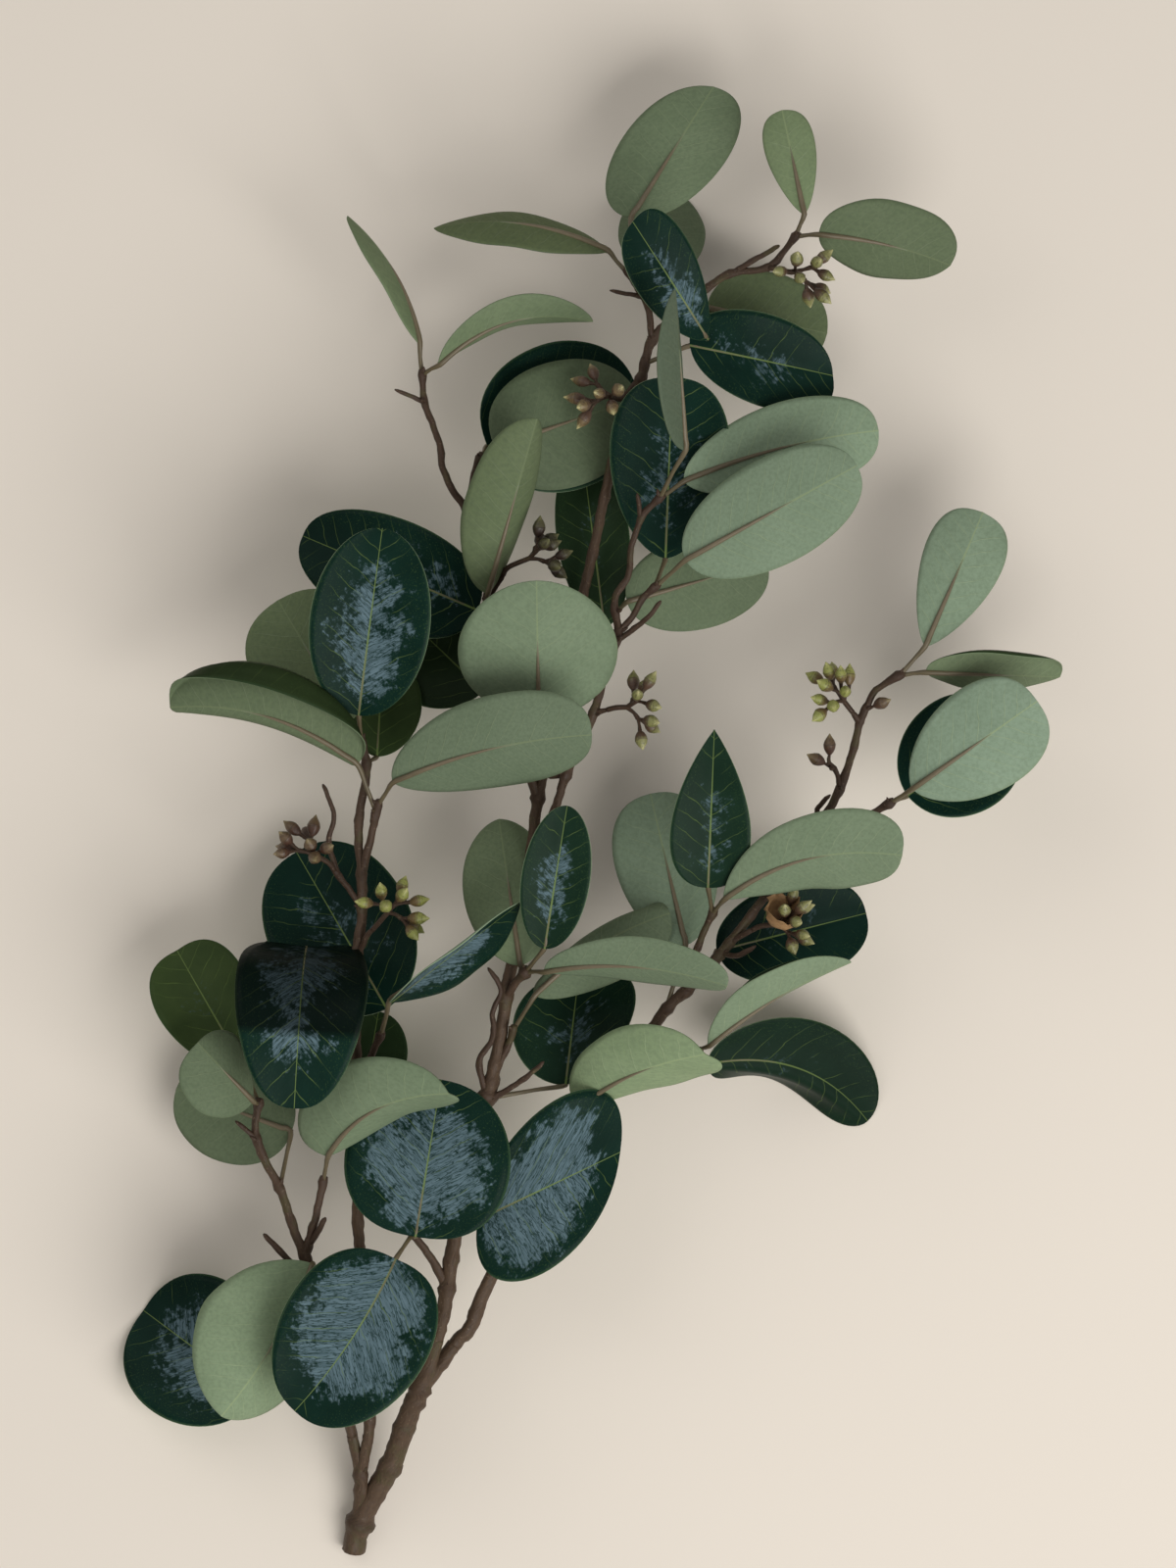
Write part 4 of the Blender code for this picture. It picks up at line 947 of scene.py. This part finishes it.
def add_nut(form, foot, way, length, girth, seed):
    """A pointed gum nut: a cup with a rim, and a conical cap on it."""
    turn = Vector((0, 0, 1)).rotation_difference(way).to_matrix()
    rings = []
    for share, radius in NUT_PROFILE:
        ring = []
        for step in range(NUT_SIDES):
            angle = math.tau * step / NUT_SIDES
            rib = 1 + 0.05 * math.cos(4 * angle + seed)
            reach = radius * girth * rib * MM
            spot = turn @ Vector((math.cos(angle) * reach, math.sin(angle) * reach, share * length))
            ring.append(form.point(foot + spot, (share, abs(angle - math.pi), seed), (share, 0.0, 0.0)))
        rings.append(ring)
    for first, second in zip(rings, rings[1:]):
        form.strip(first, second, 1, closed=True)
    form.face(rings[0][::-1], 1)
    form.face(rings[-1], 1)


def add_husk(form, foot, way, size):
    """A dry, crumpled husk: an open cup with a thin wall and a torn rim."""
    draw = random.Random(f"{SEED} husk")
    turn = Vector((0, 0, 1)).rotation_difference(way).to_matrix()
    profile = [(0.0, 0.14), (0.12, 0.42), (0.3, 0.66), (0.55, 0.78), (0.8, 0.74), (1.0, 0.86)]
    crumple = [[draw.uniform(-0.16, 0.16) * share for _ in range(HUSK_SIDES)] for share, _ in profile]
    torn = [draw.uniform(-0.22, 0.22) for _ in range(HUSK_SIDES)]
    numbers = range(len(profile))
    layers = [(row, 0.0) for row in numbers] + [(row, HUSK_WALL) for row in reversed(numbers)]
    rings = []
    for row, inset in layers:
        share, radius = profile[row]
        ring = []
        for step in range(HUSK_SIDES):
            angle = math.tau * step / HUSK_SIDES
            reach = max(radius * (1 + crumple[row][step]) * size - inset, 0.1 * MM)
            height = share * (1 + torn[step] * share) * size + (inset if row == 0 else 0)
            spot = turn @ Vector((math.cos(angle) * reach, math.sin(angle) * reach, height))
            ring.append(form.point(foot + spot, (share, angle, 0.0), (share, 0.0, 0.0)))
        rings.append(ring)
    for first, second in zip(rings, rings[1:]):
        form.strip(first, second, 0, closed=True)
    form.face(rings[0][::-1])
    form.face(rings[-1])


def add_nut_stalk(form, points, radii, seed):
    route, thick = smooth_route(points, radii, 1.3 * MM)
    sweep(form, route, lambda index, angle: thick[index], lambda index: (1.2, 0.0, 0.0), TUBE_SIDES, seed=seed)


def tilted(axis, tilt, turn):
    """Direction at an angle of tilt to axis, turned round it."""
    sideways = Matrix.Rotation(turn, 3, axis) @ axis.orthogonal().normalized()
    return (axis * math.cos(tilt) + sideways * math.sin(tilt)).normalized()


def bunch_arms(name, crown, axis):
    """Arms of a bunch: (end, direction, nuts), with foot and direction for each nut."""
    _, _, _, count, spread = BUNCHES[name]
    draw = random.Random(f"{SEED}{name}")
    arm_count = math.ceil(count / NUTS_ON_ARM)
    arms = []
    for arm in range(arm_count):
        tilt = math.radians(spread) * math.sqrt((arm + 0.4) / arm_count) * draw.uniform(0.9, 1.1)
        way = tilted(axis, tilt, GOLDEN_ANGLE * arm)
        end = crown + way * (draw.uniform(4.0, 7.0) * MM)
        nuts = []
        first = draw.uniform(0, math.tau)
        for index in range(min(NUTS_ON_ARM, count - arm * NUTS_ON_ARM)):
            opening = math.radians(draw.uniform(24, 44))
            ray = tilted(way, opening, first + math.tau * index / NUTS_ON_ARM)
            nuts.append((end + ray * (draw.uniform(2.5, 6.0) * MM), ray))
        arms.append((end, way, nuts))
    return arms


def make_bunch(name, bark, nut_look):
    """One bunch of nuts, by the same rule and the same draws as its solid."""
    node, branch, crown, _, _ = BUNCHES[name]
    shape = random.Random(f"{SEED} shape {name}")
    foot, way, _ = branch_end(node, branch)
    crown = place(*crown)
    axis = (crown - foot - way * JOINT_GAP).normalized()
    form = Form("stem_mm", "stem_look")
    nuts = Form("nut_mm", "nut_look")
    add_nut_stalk(form, [foot - way * OVERLAP * 0.5, foot + way * COUPLING, crown, crown + axis * MM],
                  [BUNCH_STALK_RADIUS] * 3 + [BUNCH_STALK_RADIUS * 0.9], 3.0)
    for arm, (end, arm_way, arm_nuts) in enumerate(bunch_arms(name, crown, axis)):
        bow = (crown + end) / 2 + axis * (0.5 * MM)
        add_nut_stalk(form, [crown - axis * 0.4 * MM, bow, end, end + arm_way * 0.7 * MM],
                      [1.1 * ARM_RADIUS, 0.85 * ARM_RADIUS, 1.2 * ARM_RADIUS, 0.7 * ARM_RADIUS], arm * 5.0)
        for index, (nut_foot, ray) in enumerate(arm_nuts):
            middle = (end + nut_foot) / 2 + arm_way * 0.3 * MM
            add_nut_stalk(form, [end - ray * 0.3 * MM, middle, nut_foot + ray * MM],
                          [1.15 * NUT_STALK_RADIUS, 0.9 * NUT_STALK_RADIUS, 1.5 * NUT_STALK_RADIUS], index * 5.0)
            length, girth = NUT_LENGTH * shape.uniform(0.86, 1.06), shape.uniform(0.84, 1.02)
            add_nut(nuts, nut_foot, ray, length, girth, (arm * NUTS_ON_ARM + index) * 7.1)
    form.finish(name + "_stalks", [bark], name)
    nuts.finish(name + "_capsules", [bark, nut_look], name)
    if name == "nuts_right":
        husk = Form("nut_mm", "nut_look")
        add_husk(husk, crown + axis * MM, place(805, 902, 84) - crown, HUSK_SIZE)
        husk.finish(name + "_husk", [husk_material()], name)


def make_shoot(node, materials):
    """Fine wood, leaves and stalks of one woody node."""
    upper, under, bark, stalk, brown_nut = materials
    wood = Form("stem_mm", "stem_look")
    for index in range(len(WOOD[node])):
        add_wood(wood, node, index)
    add_buds(wood, node)
    wood.finish(node + "_wood", [bark], node)
    if node in LEAVES:
        blades = Form("leaf_mm", "leaf_share", "leaf_look")
        stalks = Form("stem_mm", "stem_look")
        for index, spec in enumerate(LEAVES[node]):
            seed = list(WOOD).index(node) * 20 + index
            path = LeafPath(*spec)
            path.bow(BOWS.get((node, index), 0))
            curls, crease = CURLS.get((node, index), {}), CREASES.get((node, index), (0, 1))
            add_blade(blades, path, LEAF_LOOKS[node][index], seed, curls, crease)
            add_stalk(stalks, path, seed)
        blades.finish(node + "_blades", [upper, under], node)
        stalks.finish(node + "_stalks", [stalk], node)
    if node in SINGLE_NUTS:
        nuts = Form("nut_mm", "nut_look")
        for index in SINGLE_NUTS[node]:
            foot, way, _ = branch_end(node, index)
            add_nut(nuts, foot - way * MM, way, NUT_LENGTH, 0.9, index * 9.0)
        nuts.finish(node + "_capsules", [bark, brown_nut], node)


def make_floor():
    mesh = bpy.data.meshes.new("floor")
    reach = 3.0
    mesh.from_pydata([(-reach, -reach, 0), (reach, -reach, 0), (reach, reach, 0), (-reach, reach, 0)],
                     [], [(0, 1, 2, 3)])
    graph = Graph("floor", 0.9)
    graph.colour((*FLOOR_COLOUR, 1))
    mesh.materials.append(graph.material)
    floor = bpy.data.objects.new("floor", mesh)
    bpy.context.scene.collection.objects.link(floor)


def add_area_light(name, position, size, power, colour):
    light = bpy.data.lights.new(name, "AREA")
    light.energy = power
    light.size = size
    light.color = colour
    lamp = bpy.data.objects.new(name, light)
    lamp.location = position
    aim = Vector((0, 0, 0.06)) - Vector(position)
    lamp.rotation_euler = aim.to_track_quat("-Z", "Y").to_euler()
    bpy.context.scene.collection.objects.link(lamp)


def make_lights():
    world = bpy.data.worlds.new("studio")
    world.use_nodes = True
    background = world.node_tree.nodes["Background"]
    background.inputs["Color"].default_value = (1.0, 0.98, 0.96, 1)
    background.inputs["Strength"].default_value = 0.34
    bpy.context.scene.world = world
    add_area_light("window", (1.0, -1.2, 1.9), 1.8, 46, (1.0, 0.985, 0.965))
    add_area_light("fill", (-1.3, 1.2, 1.8), 1.8, 10, (1.0, 0.98, 0.95))


def make_camera():
    """Looks straight down on the sprig. At mid height a map unit is a pixel of the frame."""
    camera_data = bpy.data.cameras.new("camera")
    camera = bpy.data.objects.new("camera", camera_data)
    centre = place(FRAME_WIDTH / 2, FRAME_HEIGHT / 2, MID_HEIGHT)
    camera.location = (centre.x, centre.y, CAMERA_HEIGHT)
    camera_data.sensor_width = 36
    camera_data.lens = camera_data.sensor_width * (CAMERA_HEIGHT - centre.z) / (FRAME_HEIGHT * MAP_UNIT)
    bpy.context.scene.collection.objects.link(camera)
    bpy.context.scene.camera = camera


def main():
    upper, under = leaf_upper_material(), leaf_under_material()
    bark, stalk = bark_material(), stalk_material()
    looks = {name: nut_material("nut_" + name, *colours) for name, colours in NUT_COLOURS.items()}
    for node in WOOD:
        make_shoot(node, (upper, under, bark, stalk, looks["brown"]))
    for name in BUNCHES:
        make_bunch(name, bark, looks[BUNCH_LOOKS[name]])
    make_floor()
    make_lights()
    make_camera()
    bpy.context.scene.view_settings.view_transform = "Standard"
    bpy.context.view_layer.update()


main()
